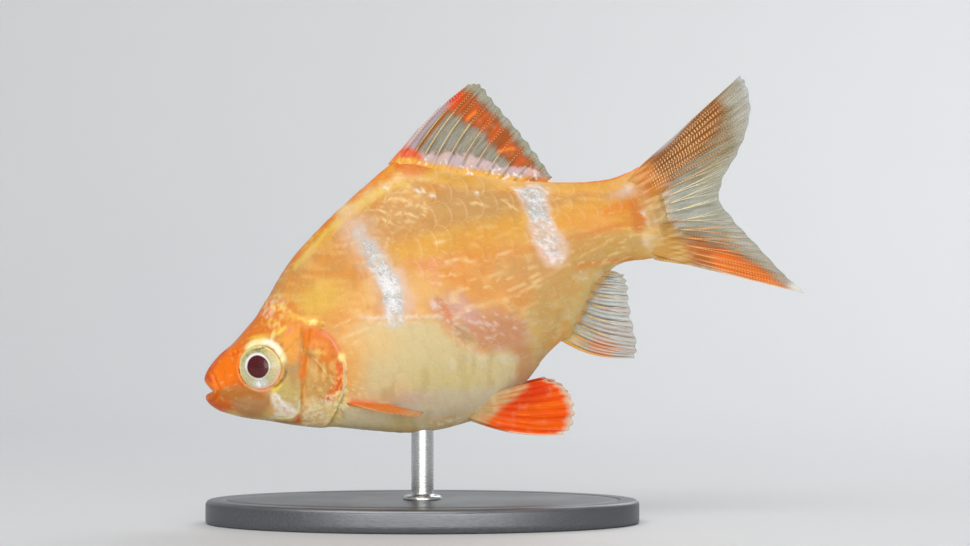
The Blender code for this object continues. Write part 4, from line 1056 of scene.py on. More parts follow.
# =========================================================== skin material and object
def skin_material(name, scaly):
    n = Nodes(name)
    where = n.attr("at", "Vector")
    colour = n.attr("tint", "Color")
    along = n.vec("MULTIPLY", where, (0.8, 0.8, 6.0))
    lines = n.noise(along, 1.5, 3.0, 0.6)
    fine = n.noise(where, 5.5, 3.0, 0.6)
    mottle = n.noise(where, 0.9, 3.0, 0.55)
    # painted highlights: fine light streaks running along the body
    colour = n.mix(n.range(lines, 0.52, 0.80, 0.0, 0.16 if scaly else 0.06), colour, (0.95, 0.74, 0.42))
    colour = n.mix(n.range(mottle, 0.50, 0.80, 0.0, 0.16), colour, n.mix(1.0, colour, (0.86, 0.66, 0.50), "MULTIPLY"))
    colour = n.mix(n.range(fine, 0.30, 0.62, 0.14, 0.0), colour, n.mix(1.0, colour, (0.72, 0.55, 0.45), "MULTIPLY"))
    if scaly:
        glint = n.noise(n.vec("MULTIPLY", where, (1.0, 1.0, 2.4)), 2.6, 1.0, 0.4)
        colour = n.mix(n.range(glint, 0.66, 0.76, 0.0, 0.13), colour, (1.0, 0.86, 0.60))
        # painted highlight along each scale's free edge (rim), and painted shade just behind the edge of the scale in
        # front (root)
        edge = n.attr("rim")
        colour = n.mix(n.math("MULTIPLY", edge, 0.22), colour, (1.0, 0.82, 0.54))
        root = n.attr("root")
        colour = n.mix(n.math("MULTIPLY", root, 0.07), colour, n.mix(1.0, colour, (0.72, 0.50, 0.34), "MULTIPLY"))
    # pale flesh of the bars has a fine grain of its own
    split = n.t.nodes.new("ShaderNodeSeparateColor")
    split.mode = "HSV"
    n.put(split.inputs[0], n.attr("tint", "Color"))
    silver = n.range(split.outputs[1], 0.10, 0.42, 1.0, 0.0)
    grain = n.noise(n.vec("MULTIPLY", where, (1.0, 1.0, 1.5)), 4.6, 2.0, 0.6)
    colour = n.mix(n.math("MULTIPLY", silver, n.range(grain, 0.53, 0.66, 0.0, 0.55)), colour, (0.95, 0.95, 0.94))
    colour = n.mix(n.math("MULTIPLY", silver, n.range(grain, 0.48, 0.36, 0.0, 0.38)), colour, n.mix(1.0, colour, (0.62, 0.58, 0.50), "MULTIPLY"))
    n.set(Base_Color=colour)
    n.set(Roughness=n.range(fine, 0.3, 0.7, 0.30, 0.44))
    n.set(Subsurface_Weight=0.10)
    n.shader.inputs["Subsurface Radius"].default_value = (1.0, 0.42, 0.20)
    n.shader.inputs["Subsurface Scale"].default_value = 0.0009
    n.shader.inputs["Coat Weight"].default_value = 0.13
    n.shader.inputs["Coat Roughness"].default_value = 0.20
    n.shader.inputs["Specular IOR Level"].default_value = 0.20
    height = n.math("ADD", n.math("MULTIPLY", lines, 0.6), n.math("MULTIPLY", fine, 0.5))
    n.set(Normal=n.bump(height, 0.00006, 0.45))
    return n.m


skin_mat = skin_material("golden_skin", False)
skin = skin_object(skin_mat)
flat = skin_body.reshape(-1, 3)
flat = np.vstack([flat, skin_body[0].mean(0), skin_body[-1].mean(0)])
tint = fish_colours(flat)
# inside the mouth: its red lining, painted dark for the shade within
lining_and_shade = np.zeros(ROWS)
lining_and_shade[:MOUTH_RINGS] = 1 - smooth(0.55, 1.0, np.arange(MOUTH_RINGS) / MOUTH_RINGS)
lining_and_shade = np.concatenate([np.repeat(lining_and_shade, AROUND), [1, 0]])[:, None]
tint = tint + lining_and_shade * (linear((92, 34, 14)) - tint)
# the socket behind the eyeball is painted dark, as the shade seen in the gap round the eye
socket = (np.hypot(flat[:, 0] - EYE_S, flat[:, 2] - EYE_H) < 2.2) & (np.abs(flat[:, 1]) > 1.0)
tint[socket] = linear((70, 40, 18))
give(skin, "tint", np.hstack([tint, np.ones((len(tint), 1))]))
give(skin, "at", flat)
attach(skin, "root")
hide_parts("head", "lower_jaw", "gill_cover_left", "gill_cover_right", "trunk", "tail")


# =========================================================== eyes
def eye_colours(u, v):
    """The iris: u forward, v up, in mm from the eye's centre."""
    # the pupil lies a little ahead of and above the centre of the iris
    pu, pv = u - 0.13, v - 0.12
    a = np.arctan2(pv, -pu)  # 0 points to the tail
    q = np.stack([u * 3.0, v * 3.0, np.zeros_like(u)], -1)
    wob = noise(q, 1.6, 101) - 0.5
    pr = np.hypot(pu, pv) + 0.05 * wob - 0.05 * np.cos(a + math.pi / 2) ** 8
    r = np.hypot(u, v)
    rgb = np.broadcast_to(linear((188, 178, 136)), (*u.shape, 3)).copy()

    def lay(w, tone):
        rgb[...] = rgb + np.clip(w, 0, 1)[..., None] * (linear(tone) - rgb)

    ray = noise(np.stack([np.cos(a) * 9, np.sin(a) * 9, r * 0.8], -1), 1.0, 102)
    ray2 = noise(np.stack([np.cos(a) * 22, np.sin(a) * 22, r * 1.5], -1), 1.0, 103)
    lay(0.40 * smooth(0.45, 0.75, ray), (178, 170, 118))
    lay(0.35 * smooth(0.5, 0.8, ray2), (214, 206, 170))
    lay(0.80 * smooth(0.75, 1.6, v) * smooth(1.25, 1.5, pr), (168, 164, 108))
    lay(0.55 * smooth(0.45, 0.75, ray) * smooth(0.9, 1.6, v), (112, 110, 66))
    lay(0.75 * bump_at(r - 2.12, 0.16) * smooth(0.2, 1.6, v), (150, 132, 62))
    lay(0.55 * smooth(0.2, 1.6, -u) * smooth(1.3, 1.7, r), (208, 188, 122))
    # painted reflection: a pale patch low and forward on the iris, with whiter specks
    lay(0.80 * smooth(1.05, 0.20, np.hypot((u - 0.42) / 1.20, (v + 1.48) / 0.80) + 0.28 * (ray - 0.5)), (206, 208, 206))
    lay(0.85 * smooth(0.56, 0.68, ray2) * smooth(0.95, 0.3, np.hypot((u - 0.36) / 1.0, (v + 1.50) / 0.80)), (250, 252, 252))
    lay(0.80 * smooth(1.92, 2.16, r) * smooth(-0.4, -1.3, v) * smooth(1.4, 0.4, u), (236, 176, 158))
    lay(0.55 * smooth(1.90, 2.15, r) * smooth(-0.6, 0.3, v), (244, 228, 150))
    lay(smooth(0.06, -0.06, pr - 1.29 - 0.17 * smooth(0.1, 1.1, pv + 0.30 * pu)) * (0.25 + 0.75 * smooth(-1.1, -0.1, pv + 0.2 * pu)) * (1 - 0.55 * smooth(0.6, 1.2, pu) * smooth(0.7, -0.1, pv)), (232, 226, 226))
    lay(0.35 * smooth(1.34, 1.46, pr) * smooth(1.54, 1.46, pr), (150, 146, 110))
    lay(smooth(1.19, 1.12, pr), (84, 14, 18))
    lay(0.7 * smooth(1.0, 0.2, pr), (66, 8, 14))
    lay(0.70 * smooth(0.94, 1.10, pr) * smooth(1.20, 1.14, pr), (40, 8, 16))
    # a short dark crease in the upper iris
    lay(0.75 * bump_at(v - 1.80 - 0.12 * (u + 1.0), 0.06) * smooth(-1.45, -1.2, u) * smooth(0.2, -0.2, u), (84, 66, 34))
    lay(0.80 * bump_at(np.hypot(u + 1.02, v - 1.88), 0.12), (64, 50, 30))
    return rgb


def eye_material(name):
    n = Nodes(name)
    where = n.attr("at", "Vector")
    pupil = n.attr("pupil")
    fleck = n.noise(where, 6.0, 3.0, 0.6)
    colour = n.attr("tint", "Color")
    colour = n.mix(n.math("MULTIPLY", n.range(fleck, 0.5, 0.75, 0.0, 0.28), n.math("SUBTRACT", 1.0, pupil)), colour, (0.90, 0.86, 0.66))
    colour = n.mix(n.math("MULTIPLY", n.range(fleck, 0.5, 0.25, 0.0, 0.22), n.math("SUBTRACT", 1.0, pupil)), colour, (0.36, 0.30, 0.14))
    n.set(Base_Color=colour, Roughness=n.range(fleck, 0.3, 0.7, 0.22, 0.36))
    n.shader.inputs["Coat Weight"].default_value = 0.42
    n.shader.inputs["Coat Roughness"].default_value = 0.04
    n.shader.inputs["Specular IOR Level"].default_value = 0.20
    n.set(Normal=n.bump(n.math("MULTIPLY", fleck, n.math("SUBTRACT", 1.0, pupil)), 0.00003, 0.3))
    return n.m


eye_mat = eye_material("pale_iris")
EYE_RINGS, EYE_TURNS, EYE_SEEN = 46, 144, 2.30


def make_eye(label, side):
    a = 2 * math.pi * np.arange(EYE_TURNS) / EYE_TURNS
    around = np.stack([EYE_S + 2.34 * np.cos(a), EYE_H + 2.34 * np.sin(a)], -1)
    w = half_width(around[:, 0], around[:, 1])
    fit, *_ = np.linalg.lstsq(np.column_stack([np.ones_like(a), around[:, 0] - EYE_S, around[:, 1] - EYE_H]), w, rcond=None)
    r = EYE_SEEN * np.linspace(0.004, 1, EYE_RINGS)
    u, v = r[:, None] * np.cos(a), r[:, None] * np.sin(a)
    share = r / EYE_SEEN
    # a low dome with a clearer bulge of the cornea over the pupil
    bulge = 0.50 * np.sqrt(np.maximum(1 - 0.94 * share**2, 0)) + 0.10 * np.exp(-((r / 1.25) ** 4)) - 0.10
    front_y = fit[0] + fit[1] * u + fit[2] * v + bulge[:, None] - 0.03
    back_r = EYE_SEEN * np.array([0.99, 0.9, 0.7, 0.45, 0.2, 0.02])
    back_d = np.array([0.35, 0.75, 1.05, 1.25, 1.35, 1.38])
    bu, bv = back_r[:, None] * np.cos(a), back_r[:, None] * np.sin(a)
    back_y = fit[0] + fit[1] * bu + fit[2] * bv - back_d[:, None]
    s = EYE_S + np.vstack([u, bu])
    h = EYE_H + np.vstack([v, bv])
    y = side * np.vstack([front_y, back_y])
    grid = np.stack([s, y, h], -1)
    rows = len(grid)
    points = np.vstack([place(grid).reshape(-1, 3), place(grid[0].mean(0)), place(grid[-1].mean(0))])
    flip = side > 0
    quads = grid_faces(rows, EYE_TURNS, wrap=True, flip=flip)
    k = np.arange(EYE_TURNS)
    n = len(points)
    cap_a = np.stack([(k + 1) % EYE_TURNS, k, np.full(EYE_TURNS, n - 2)], 1)
    cap_b = np.stack([(rows - 1) * EYE_TURNS + k, (rows - 1) * EYE_TURNS + (k + 1) % EYE_TURNS, np.full(EYE_TURNS, n - 1)], 1)
    tris = np.vstack([cap_a, cap_b])
    if flip:
        tris = tris[:, ::-1]
    obj = build_mesh("eye_" + label + "_ball", points, quads, tris, [eye_mat])
    uu = np.concatenate([np.vstack([-u, -bu]).ravel(), [0, 0]])
    vv = np.concatenate([np.vstack([v, bv]).ravel(), [0, 0]])
    # u points forward, to the snout
    rgb = eye_colours(uu, vv)
    give(obj, "tint", np.hstack([rgb, np.ones((len(rgb), 1))]))
    give(obj, "at", np.stack([uu, vv, np.zeros_like(uu)], -1))
    give(obj, "pupil", smooth(1.27, 1.08, np.hypot(uu - 0.13, vv - 0.12)))
    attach(obj, "root")
    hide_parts("eye_" + label)


make_eye("left", -1)
make_eye("right", 1)


# =========================================================== fins
def fin_material(name, ray):
    n = Nodes(name)
    where = n.attr("at", "Vector")
    along = n.attr("along")
    tint = n.attr("tint", "Color")
    fine = n.noise(where, 3.2, 3.0, 0.6)
    cloud = n.noise(where, 0.9, 2.0)
    colour = n.mix(n.range(fine, 0.45, 0.75, 0.0, 0.08), tint, n.mix(1.0, tint, (0.76, 0.58, 0.42), "MULTIPLY"))
    colour = n.mix(n.range(cloud, 0.5, 0.75, 0.0, 0.10), colour, (0.80, 0.60, 0.34))
    if ray:
        # the joints of the ray's segments show as paler and darker ticks
        joint = n.math("PINGPONG", along, 0.16)
        tick = n.range(joint, 0.085, 0.14, 0.0, 1.0)
        segments = n.attr("jointed")
        colour = n.mix(n.math("MULTIPLY", tick, n.math("MULTIPLY", segments, 0.90)), colour, n.mix(0.78, colour, (0.95, 0.66, 0.34)))
        n.set(Base_Color=colour, Roughness=n.range(fine, 0.3, 0.7, 0.34, 0.50))
        n.set(Alpha=n.attr("cover"))
        n.set(Normal=n.bump(n.math("ADD", n.math("MULTIPLY", tick, 0.6), fine), 0.00004, 0.4))
    else:
        veins = n.noise(n.vec("MULTIPLY", n.join(along, n.attr("across"), 0.0), (0.16, 2.0, 1.0)), 2.4, 2.0, 0.5)
        cover = n.attr("cover")
        alpha = n.math("MULTIPLY", cover, n.range(veins, 0.30, 0.70, 0.80, 1.12))
        alpha = n.math("ADD", alpha, n.range(cover, 0.80, 0.95, 0.0, 0.24), clamp=True)
        colour = n.mix(n.range(veins, 0.45, 0.75, 0.0, 0.45), colour, n.mix(1.0, colour, (0.62, 0.46, 0.34), "MULTIPLY"))
        # rows of small pale joints seen through the skin of the fin
        row = n.range(n.math("PINGPONG", n.math("MULTIPLY", n.attr("across"), 2.0), 0.5), 0.14, 0.34, 0.0, 1.0)
        shift = n.math("MULTIPLY", n.math("FLOOR", n.math("MULTIPLY", n.attr("across"), 2.0), 0.0), 0.137)
        spot = n.range(n.math("PINGPONG", n.math("ADD", along, shift), 0.11), 0.050, 0.085, 0.0, 1.0)
        amount = n.math("MULTIPLY", n.attr("dotted"), n.math("MULTIPLY", row, spot))
        colour = n.mix(amount, colour, (0.90, 0.56, 0.26))
        n.set(Base_Color=colour, Roughness=n.range(fine, 0.3, 0.7, 0.28, 0.42), Alpha=alpha)
        n.set(Normal=n.bump(n.math("ADD", n.math("MULTIPLY", veins, 1.0), n.math("MULTIPLY", fine, 0.04)), 0.00004, 0.30))
    n.shader.inputs["Specular IOR Level"].default_value = 0.12
    n.shader.inputs["Coat Weight"].default_value = 0.03
    n.shader.inputs["Coat Roughness"].default_value = 0.25
    return n.m


membrane_mat, ray_mat = fin_material("clear_orange_fin", False), fin_material("fin_rays", True)
red_membrane_mat, red_ray_mat = fin_material("orange_red_fin", False), fin_material("red_fin_rays", True)

FIN_TONE = {name: linear(rgb) for name, rgb in {
    "clear": (130, 118, 74), "clear green": (122, 124, 76), "clear grey": (156, 152, 124), "smoke": (100, 90, 60),
    "ray pale": (224, 202, 150), "ray cream": (238, 228, 200), "ray gold": (222, 170, 78), "ray orange": (236, 126, 26),
    "ray brown": (196, 132, 60), "pink sheath": (206, 180, 174), "lilac": (186, 168, 180), "band": (176, 86, 8),
    "band deep": (138, 68, 6), "tip red": (216, 66, 12), "root red": (226, 88, 40), "orange": (226, 104, 12),
    "orange deep": (178, 84, 8), "brown orange": (140, 80, 8), "brown deep": (104, 54, 4), "rose": (178, 132, 96),
    "white": (240, 240, 236), "blue white": (206, 218, 226), "red": (238, 84, 0), "red deep": (212, 54, 0),
    "red light": (250, 124, 4), "flame": (216, 104, 0), "base flesh": (214, 142, 62), "yellow": (228, 184, 56), "dark": (84, 54, 22),
    "olive clear": (126, 110, 46), "cream": (236, 222, 190), "pec": (236, 142, 70), "pec deep": (226, 116, 48), "pec pale": (214, 170, 122), "pelvic root": (188, 158, 108), "pelvic pale": (200, 176, 134),
}.items()}
TONE.update({"fin " + k: v for k, v in FIN_TONE.items()})


class FinPaint(Paint):
    def __init__(self, p, tone, cover):
        super().__init__(p, tone)
        self.cover = np.full(self.s.shape, float(cover))
        self.alpha_to = None

    def solid(self, value):
        """How much the marks after this one cover what is behind the fin."""
        self.alpha_to = value
        return self

    def lay(self, weight, tone):
        weight = np.clip(weight, 0, 1)
        super().lay(weight, tone)
        if self.alpha_to is not None:
            self.cover += weight * (self.alpha_to - self.cover)


class Fin:
    """A fin as a thin pleated membrane between tapering, branching, jointed rays."""

    def __init__(self, name, rays, root, edge, to_body, bow=(0.0, 0.0), notch=0.15, wave=0.12, steps=44, sides=(1, -1), seed=1):
        self.name, self.rays, self.root, self.edge, self.to_body = name, rays, root, edge, to_body
        self.bow, self.notch, self.wave, self.steps, self.seed = bow, notch, wave, steps, seed

    def plane(self, u, v):
        """Point of the fin's plane for ray number u and share v of the way out."""
        u, v = np.broadcast_arrays(np.asarray(u, float), np.asarray(v, float))
        k = u / (self.rays - 1)
        a, b = catmull(self.root, k), catmull(self.edge, k)
        d = b - a
        length = np.hypot(d[..., 0], d[..., 1])
        between = np.sin(math.pi * (u % 1.0)) ** 2
        ragged = 0.5 + noise(np.stack([u * 2.3, np.zeros_like(u), np.zeros_like(u)], -1), 1.0, 200 + self.seed)
        reach = v * (1 - self.notch * between * ragged / length)
        across = np.stack([-d[..., 1], d[..., 0]], -1) / length[..., None]
        bend = (self.bow[0] + (self.bow[1] - self.bow[0]) * k) * np.sin(math.pi * v)
        return a + d * reach[..., None] + across * bend[..., None]

    def lift(self, u, v):
        """How far the fin's middle surface stands off its plane: pleats and a slow wave."""
        pleat = -0.030 * np.cos(2 * math.pi * u) * smooth(0.1, 0.5, v)
        slow = self.wave * v**1.5 * np.sin(u * 0.85 + self.seed * 1.7 + 1.4 * v)
        return pleat + slow

    def point(self, u, v, t=0.0, shift=(0.0, 0.0)):
        p = self.plane(u, v)
        return self.to_body(p[..., 0] + shift[0], p[..., 1] + shift[1], self.lift(u, v) + t)

    def length_at(self, u):
        v = np.linspace(0, 1, 24)
        p = self.plane(np.full(24, u), v)
        return np.hypot(*np.diff(p, axis=0).T).sum()

    def membrane(self, mat, paint, flesh, thin=0.028, per_ray=6, pleat_shade=0.0, line_end=1.0):
        cols = (self.rays - 1) * per_ray + 1
        u = np.linspace(0, self.rays - 1, cols)
        v = np.linspace(0, 1, self.steps + 1)
        uu, vv = np.meshgrid(u, v)
        mid = self.point(uu, vv)
        thick = thin * (1 - 0.45 * vv) + flesh(mid)
        edge_taper = np.minimum(np.minimum(uu, self.rays - 1 - uu) * 2.5, 1.0)
        thick = thick * (0.35 + 0.65 * edge_taper) * np.where(vv > 0.985, 0.5, 1.0)
        front, back = self.point(uu, vv, thick), self.point(uu, vv, -thick)
        rows = len(v)
        n = rows * cols
        points = np.vstack([front.reshape(-1, 3), back.reshape(-1, 3)])
        quads = [grid_faces(rows, cols), grid_faces(rows, cols, start=n, flip=True)]
        rim = ([(0, j) for j in range(cols)] + [(i, cols - 1) for i in range(1, rows)]
               + [(rows - 1, j) for j in range(cols - 2, -1, -1)] + [(i, 0) for i in range(rows - 2, 0, -1)])
        idx = np.array([i * cols + j for i, j in rim])
        nxt = np.roll(idx, -1)
        quads.append(np.stack([nxt, idx, idx + n, nxt + n], 1))
        quads = np.vstack(quads)
        world = place(points)
        obj = build_mesh(self.name + "_membrane", world, quads, None, [mat])
        fix_outward(obj)
        both = np.concatenate([uu.ravel(), uu.ravel()]), np.concatenate([vv.ravel(), vv.ravel()])
        rgb, cover = paint(points, both[0], both[1], False)
        # painted shade in the pleats beside each ray: darker and less see-through
        beside = np.abs((both[0] - 0.16 + 0.5) % 1.0 - 0.5)
        line = bump_at(beside, 0.085) * smooth(0.10, 0.25, both[1]) * smooth(line_end, line_end - 0.2, both[1]) * pleat_shade
        rgb = rgb + line[:, None] * (linear((84, 54, 22)) - rgb)
        cover = np.clip(cover + 0.35 * line, 0, 1)
        give(obj, "tint", np.hstack([rgb, np.ones((len(rgb), 1))]))
        give(obj, "cover", cover)
        give(obj, "at", points)
        give(obj, "along", both[1] * 10)
        give(obj, "across", both[0])
        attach(obj, "root")
        return obj

    def strands(self, mat, paint, radius, branch=(0.42, 0.68), spread=0.30, sides=6, plain=0, extra=(), flat=1.0, first=None, skip=0, jointed=1.0):
        """All the rays as one mesh; the first `plain` rays don't branch."""
        self.parts = []
        for i in range(skip, self.rays):
            total = self.length_at(i)
            r0 = radius[0] * (first if (first and i == 0) else 1.0)
            r1 = radius[1]
            b1 = branch[0] + 0.10 * (noise(np.array([i * 1.7, 0.0, 0.0]), 1.0, 300 + self.seed) - 0.5)
            b2 = branch[1] + 0.10 * (noise(np.array([i * 1.3, 3.0, 0.0]), 1.0, 301 + self.seed) - 0.5)
            side = spread * (0.5 if i in (0, self.rays - 1) else 1.0)
            if i < plain or i >= self.rays - extra_plain(extra):
                self.tube(lambda v: np.full_like(v, float(i)), 0.0, 1.0, r0, r1, total, sides, i, flat)
                continue
            self.tube(lambda v: np.full_like(v, float(i)), 0.0, b1 + 0.02, r0, r0 * 0.62, total, sides, i, flat)
            for k1 in (-1, 1):
                def fork(v, k1=k1):
                    return i + k1 * side * 0.5 * smooth(b1, 1.05, v) * 1.0
                self.tube(fork, b1, b2 + 0.02, r0 * 0.62, r0 * 0.48, total, sides, i, flat)
                for k2 in (-1, 1):
                    def twig(v, k1=k1, k2=k2):
                        return i + k1 * side * 0.5 * smooth(b1, 1.05, v) + k2 * side * 0.24 * smooth(b2, 1.05, v)
                    self.tube(twig, b2, 0.995, r0 * 0.44, r1, total, sides - 1 if sides > 5 else sides, i, flat)
        points = np.vstack([p for p, *_ in self.parts])
        starts = np.cumsum([0] + [len(p) for p, *_ in self.parts[:-1]])
        quads = np.vstack([q + k for (_, q, _, _, _), k in zip(self.parts, starts)])
        tris = np.vstack([t + k for (_, _, t, _, _), k in zip(self.parts, starts)])
        u = np.concatenate([a for *_, a, _ in self.parts])
        v = np.concatenate([b for *_, b in self.parts])
        obj = build_mesh(self.name + "_rays", place(points), quads, tris, [mat])
        rgb, cover = paint(points, u, v, True)
        give(obj, "tint", np.hstack([rgb, np.ones((len(rgb), 1))]))
        give(obj, "cover", cover)
        give(obj, "at", points)
        lengths = np.array([self.length_at(k) for k in range(self.rays)])
        give(obj, "along", v * np.interp(u, np.arange(self.rays), lengths))
        give(obj, "jointed", smooth(0.22, 0.42, v) * jointed)
        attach(obj, "root")
        return obj

    def tube(self, path, v0, v1, r0, r1, total, sides, ray, flat):
        count = max(5, int(total * (v1 - v0) / 0.42))
        v = np.linspace(v0, v1, count + 1)
        u = path(v)
        radius = r0 + (r1 - r0) * ((v - v0) / (v1 - v0))
        mid = self.plane(u, v)
        along = np.gradient(mid, axis=0)
        along /= np.linalg.norm(along, axis=1, keepdims=True)
        across = np.stack([-along[:, 1], along[:, 0]], -1)
        a = 2 * math.pi * np.arange(sides) / sides
        offset = radius[:, None] * np.cos(a)
        rise = radius[:, None] * np.sin(a) * flat
        lift = self.lift(u, v)[:, None]
        pts = self.to_body(mid[:, :1] + across[:, :1] * offset, mid[:, 1:] + across[:, 1:] * offset, lift + rise)
        n = count + 1
        quads = grid_faces(n, sides, wrap=True)
        points = np.vstack([pts.reshape(-1, 3), pts[0].mean(0), pts[-1].mean(0)])
        k = np.arange(sides)
        lo, hi = n * sides, n * sides + 1
        tris = np.vstack([
            np.stack([(k + 1) % sides, k, np.full(sides, lo)], 1),
            np.stack([(n - 1) * sides + k, (n - 1) * sides + (k + 1) % sides, np.full(sides, hi)], 1),
        ])
        quads, tris = outward(points, quads, tris)
        us, vs = np.repeat(u, sides), np.repeat(v, sides)
        self.parts.append((points, quads, tris, np.concatenate([us, [u[0], u[-1]]]), np.concatenate([vs, [v[0], v[-1]]])))


def extra_plain(extra):
    return extra[0] if extra else 0


def outward(points, quads, tris):
    """Turns a closed part's faces so that they point out."""
    p = place(points) * 1000
    q = np.vstack([quads[:, [0, 1, 2]], quads[:, [0, 2, 3]], tris]) if len(tris) else np.vstack([quads[:, [0, 1, 2]], quads[:, [0, 2, 3]]])
    c = p.mean(0)
    volume = np.einsum("ij,ij->i", p[q[:, 0]] - c, np.cross(p[q[:, 1]] - c, p[q[:, 2]] - c)).sum()
    if volume < 0:
        return quads[:, ::-1], (tris[:, ::-1] if len(tris) else tris)
    return quads, tris


def fix_outward(obj):
    """Flips a closed mesh whose faces point in."""
    mesh = obj.data
    n = len(mesh.vertices)
    co = np.empty(n * 3, np.float32)
    mesh.vertices.foreach_get("co", co)
    co = co.reshape(-1, 3).astype(float)
    mesh.calc_loop_triangles()
    t = np.empty(len(mesh.loop_triangles) * 3, np.int32)
    mesh.loop_triangles.foreach_get("vertices", t)
    t = t.reshape(-1, 3)
    c = co.mean(0)
    if np.einsum("ij,ij->i", co[t[:, 0]] - c, np.cross(co[t[:, 1]] - c, co[t[:, 2]] - c)).sum() < 0:
        mesh.flip_normals()


def upright(s, h, t):
    s, h, t = np.broadcast_arrays(s, h, t)
    return np.stack([s, t, h], -1)


def fin_done(fin_name, node):
    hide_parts(node)
    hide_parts(node)


# ---------------- dorsal fin
def above_back(p):
    s, h = p[..., 0], p[..., 2]
    top, *_ = section(np.clip(s, 20, 50.9))
    return h - (top - COAT_DEPTH)


def dorsal_flesh(p):
    d = above_back(p)
    return 0.62 * bump_at(np.maximum(d + 0.35, 0), 0.95) * smooth(41.2, 39.0, p[..., 0])


def dorsal_paint(points, u, v, ray):
    c = FinPaint(points, "fin ray pale" if ray else "fin clear", 1.0 if ray else 0.52)
    s, h = c.s, c.h
    d = above_back(points)
    streak = noise(np.stack([u * 3.4, v * 1.6, np.zeros_like(u)], -1), 1.0, 215)
    fine = noise(np.stack([u * 6.0, v * 5.0, np.zeros_like(u)], -1), 1.0, 216)
    if ray:
        c.lay(smooth(0.35, 0.75, streak) * 0.45, "fin ray gold")
        c.lay(smooth(0.60, 0.85, v) * 0.55, "fin clear green")
    else:
        c.lay(smooth(0.55, 0.20, v) * 0.55, "fin smoke")
        c.lay(smooth(0.45, 0.8, streak) * 0.35, "fin smoke")
        c.solid(0.42)
        c.lay(smooth(0.80, 0.93, v + 0.05 * (streak - 0.5)) * 0.75, "fin clear green")
    # band of colour across the outer third, drawn out along the rays
    jag = 0.55 * (streak - 0.5) + 0.25 * (fine - 0.5)
    outline = px_line([(446, 108), (452, 98), (462, 91), (479, 103), (493, 117), (505, 131), (517, 147), (529, 162), (538, 177),
                       (522, 176), (511, 163), (503, 152), (494, 144), (485, 130), (472, 122), (458, 114)], 120, closed=True)
    inside_band = inside(outline, s + 0.8 * jag, h + 1.0 * jag)
    band = smooth(-0.80, 0.35, inside_band)
    c.solid(0.95)
    c.lay(band * 0.96, "fin band")
    c.solid(None)
    c.lay(band * smooth(0.66, 0.40, streak) * 0.60, "fin band deep")
    c.lay(band * smooth(0.62, 0.80, streak) * 0.28, "fin tip red")
    c.lay(band * smooth(0.35, 0.65, fine) * 0.25, "fin orange deep")
    if ray:
        c.lay(band * 0.55, "fin orange deep")
    c.band = band
    c.stroke([(465, 121), (471, 116), (478, 111)], 3.4, "fin ray orange", 0.95, 0.6)
    c.stroke([(496, 151.5), (505, 150), (516, 147.5)], 3.4, "fin ray orange", 0.95, 0.6)
    c.solid(0.95)
    c.stroke([(446, 109), (454, 101), (463, 92)], 8.5, "fin tip red", 0.95, 0.5, 0.15, ends=0.10)
    # stout first ray and the tissue ahead of it
    c.lay(smooth(0.95, 0.60, u) * smooth(0.80, 0.70, v) * 0.80, "fin lilac")
    c.solid(0.92)
    c.stroke([(418, 149), (430, 134), (447, 111)], 3.6, "fin band", 0.80, 0.7, 0.08, ends=0.05)
    c.solid(0.97)
    reach = 1.25 + 0.9 * bump_at(s - 34.0, 3.6) + 1.5 * (fractal(points, 1.1, 210) - 0.5) + 0.7 * (noise(points, 0.35, 213) - 0.5)
    c.lay(smooth(reach + 0.45, reach - 0.55, d) * smooth(0.8, 2.0, u) * smooth(11.5, 10.0, u) * 0.92, "fin pink sheath")
    c.lay(smooth(reach + 0.2, reach - 0.7, d) * smooth(0.52, 0.64, noise(points, 0.5, 214)) * smooth(1.5, 3.0, u) * 0.6, "fin lilac")
    c.lay(smooth(1.9, 1.1, d + 0.5 * (fractal(points, 0.8, 211) - 0.5)) * smooth(30.4, 29.4, s) * 0.90, "fin root red")
    c.lay(smooth(0.62, 0.05, d + 0.5 * (fractal(points, 0.7, 217) - 0.5)) * 0.84, "spine")
    c.lay(smooth(0.30, 0.0, d) * 0.60, "back band")
    c.lay(smooth(0.8, 0.2, d) * smooth(9.0, 10.5, u) * 0.62, "fin band")
    c.solid(None)
    # painted glints: white specks at the fin's root
    c.lay(smooth(0.66, 0.74, noise(points, 0.30, 212)) * smooth(1.6, 0.7, d) * smooth(0.5, 1.5, u) * 0.65, "white")
    c.lay(smooth(0.58, 0.66, noise(points, 0.26, 218)) * bump_at(np.hypot(s - px_to_body(404, 162)[0], h - px_to_body(404, 162)[1]), 0.55) * 0.95, "sparkle")
    if ray:
        c.cover[:] = np.maximum(c.cover, 0.96)
        c.cover *= 1 - 0.45 * smooth(0.78, 1.0, v) * smooth(1, 3, u)
    c.lay(c.band * smooth(0.3, 0.6, streak) * 0.15, "fin tip red")
    return np.clip(c.rgb, 0, 1), np.clip(c.cover, 0, 1)


DORSAL_ROOT = [(26.5, 14.3), (30.6, 12.2), (35.2, 9.5), (39.7, 6.9)]
DORSAL_EDGE = [(37.2, 20.05), (38.35, 19.55), (39.10, 17.3), (40.30, 14.1), (41.35, 10.9), (42.15, 7.75)]
dorsal = Fin("dorsal_fin", 12, DORSAL_ROOT, DORSAL_EDGE, upright, (0.62, 0.0), 0.16, 0.10, seed=1)
a = dorsal.membrane(membrane_mat, dorsal_paint, dorsal_flesh, per_ray=10, pleat_shade=0.55, line_end=0.70)
b = dorsal.strands(ray_mat, dorsal_paint, (0.085, 0.020), (0.50, 0.74), 0.34, plain=1, flat=1.0, first=2.8)
fin_done("dorsal", "dorsal_fin")


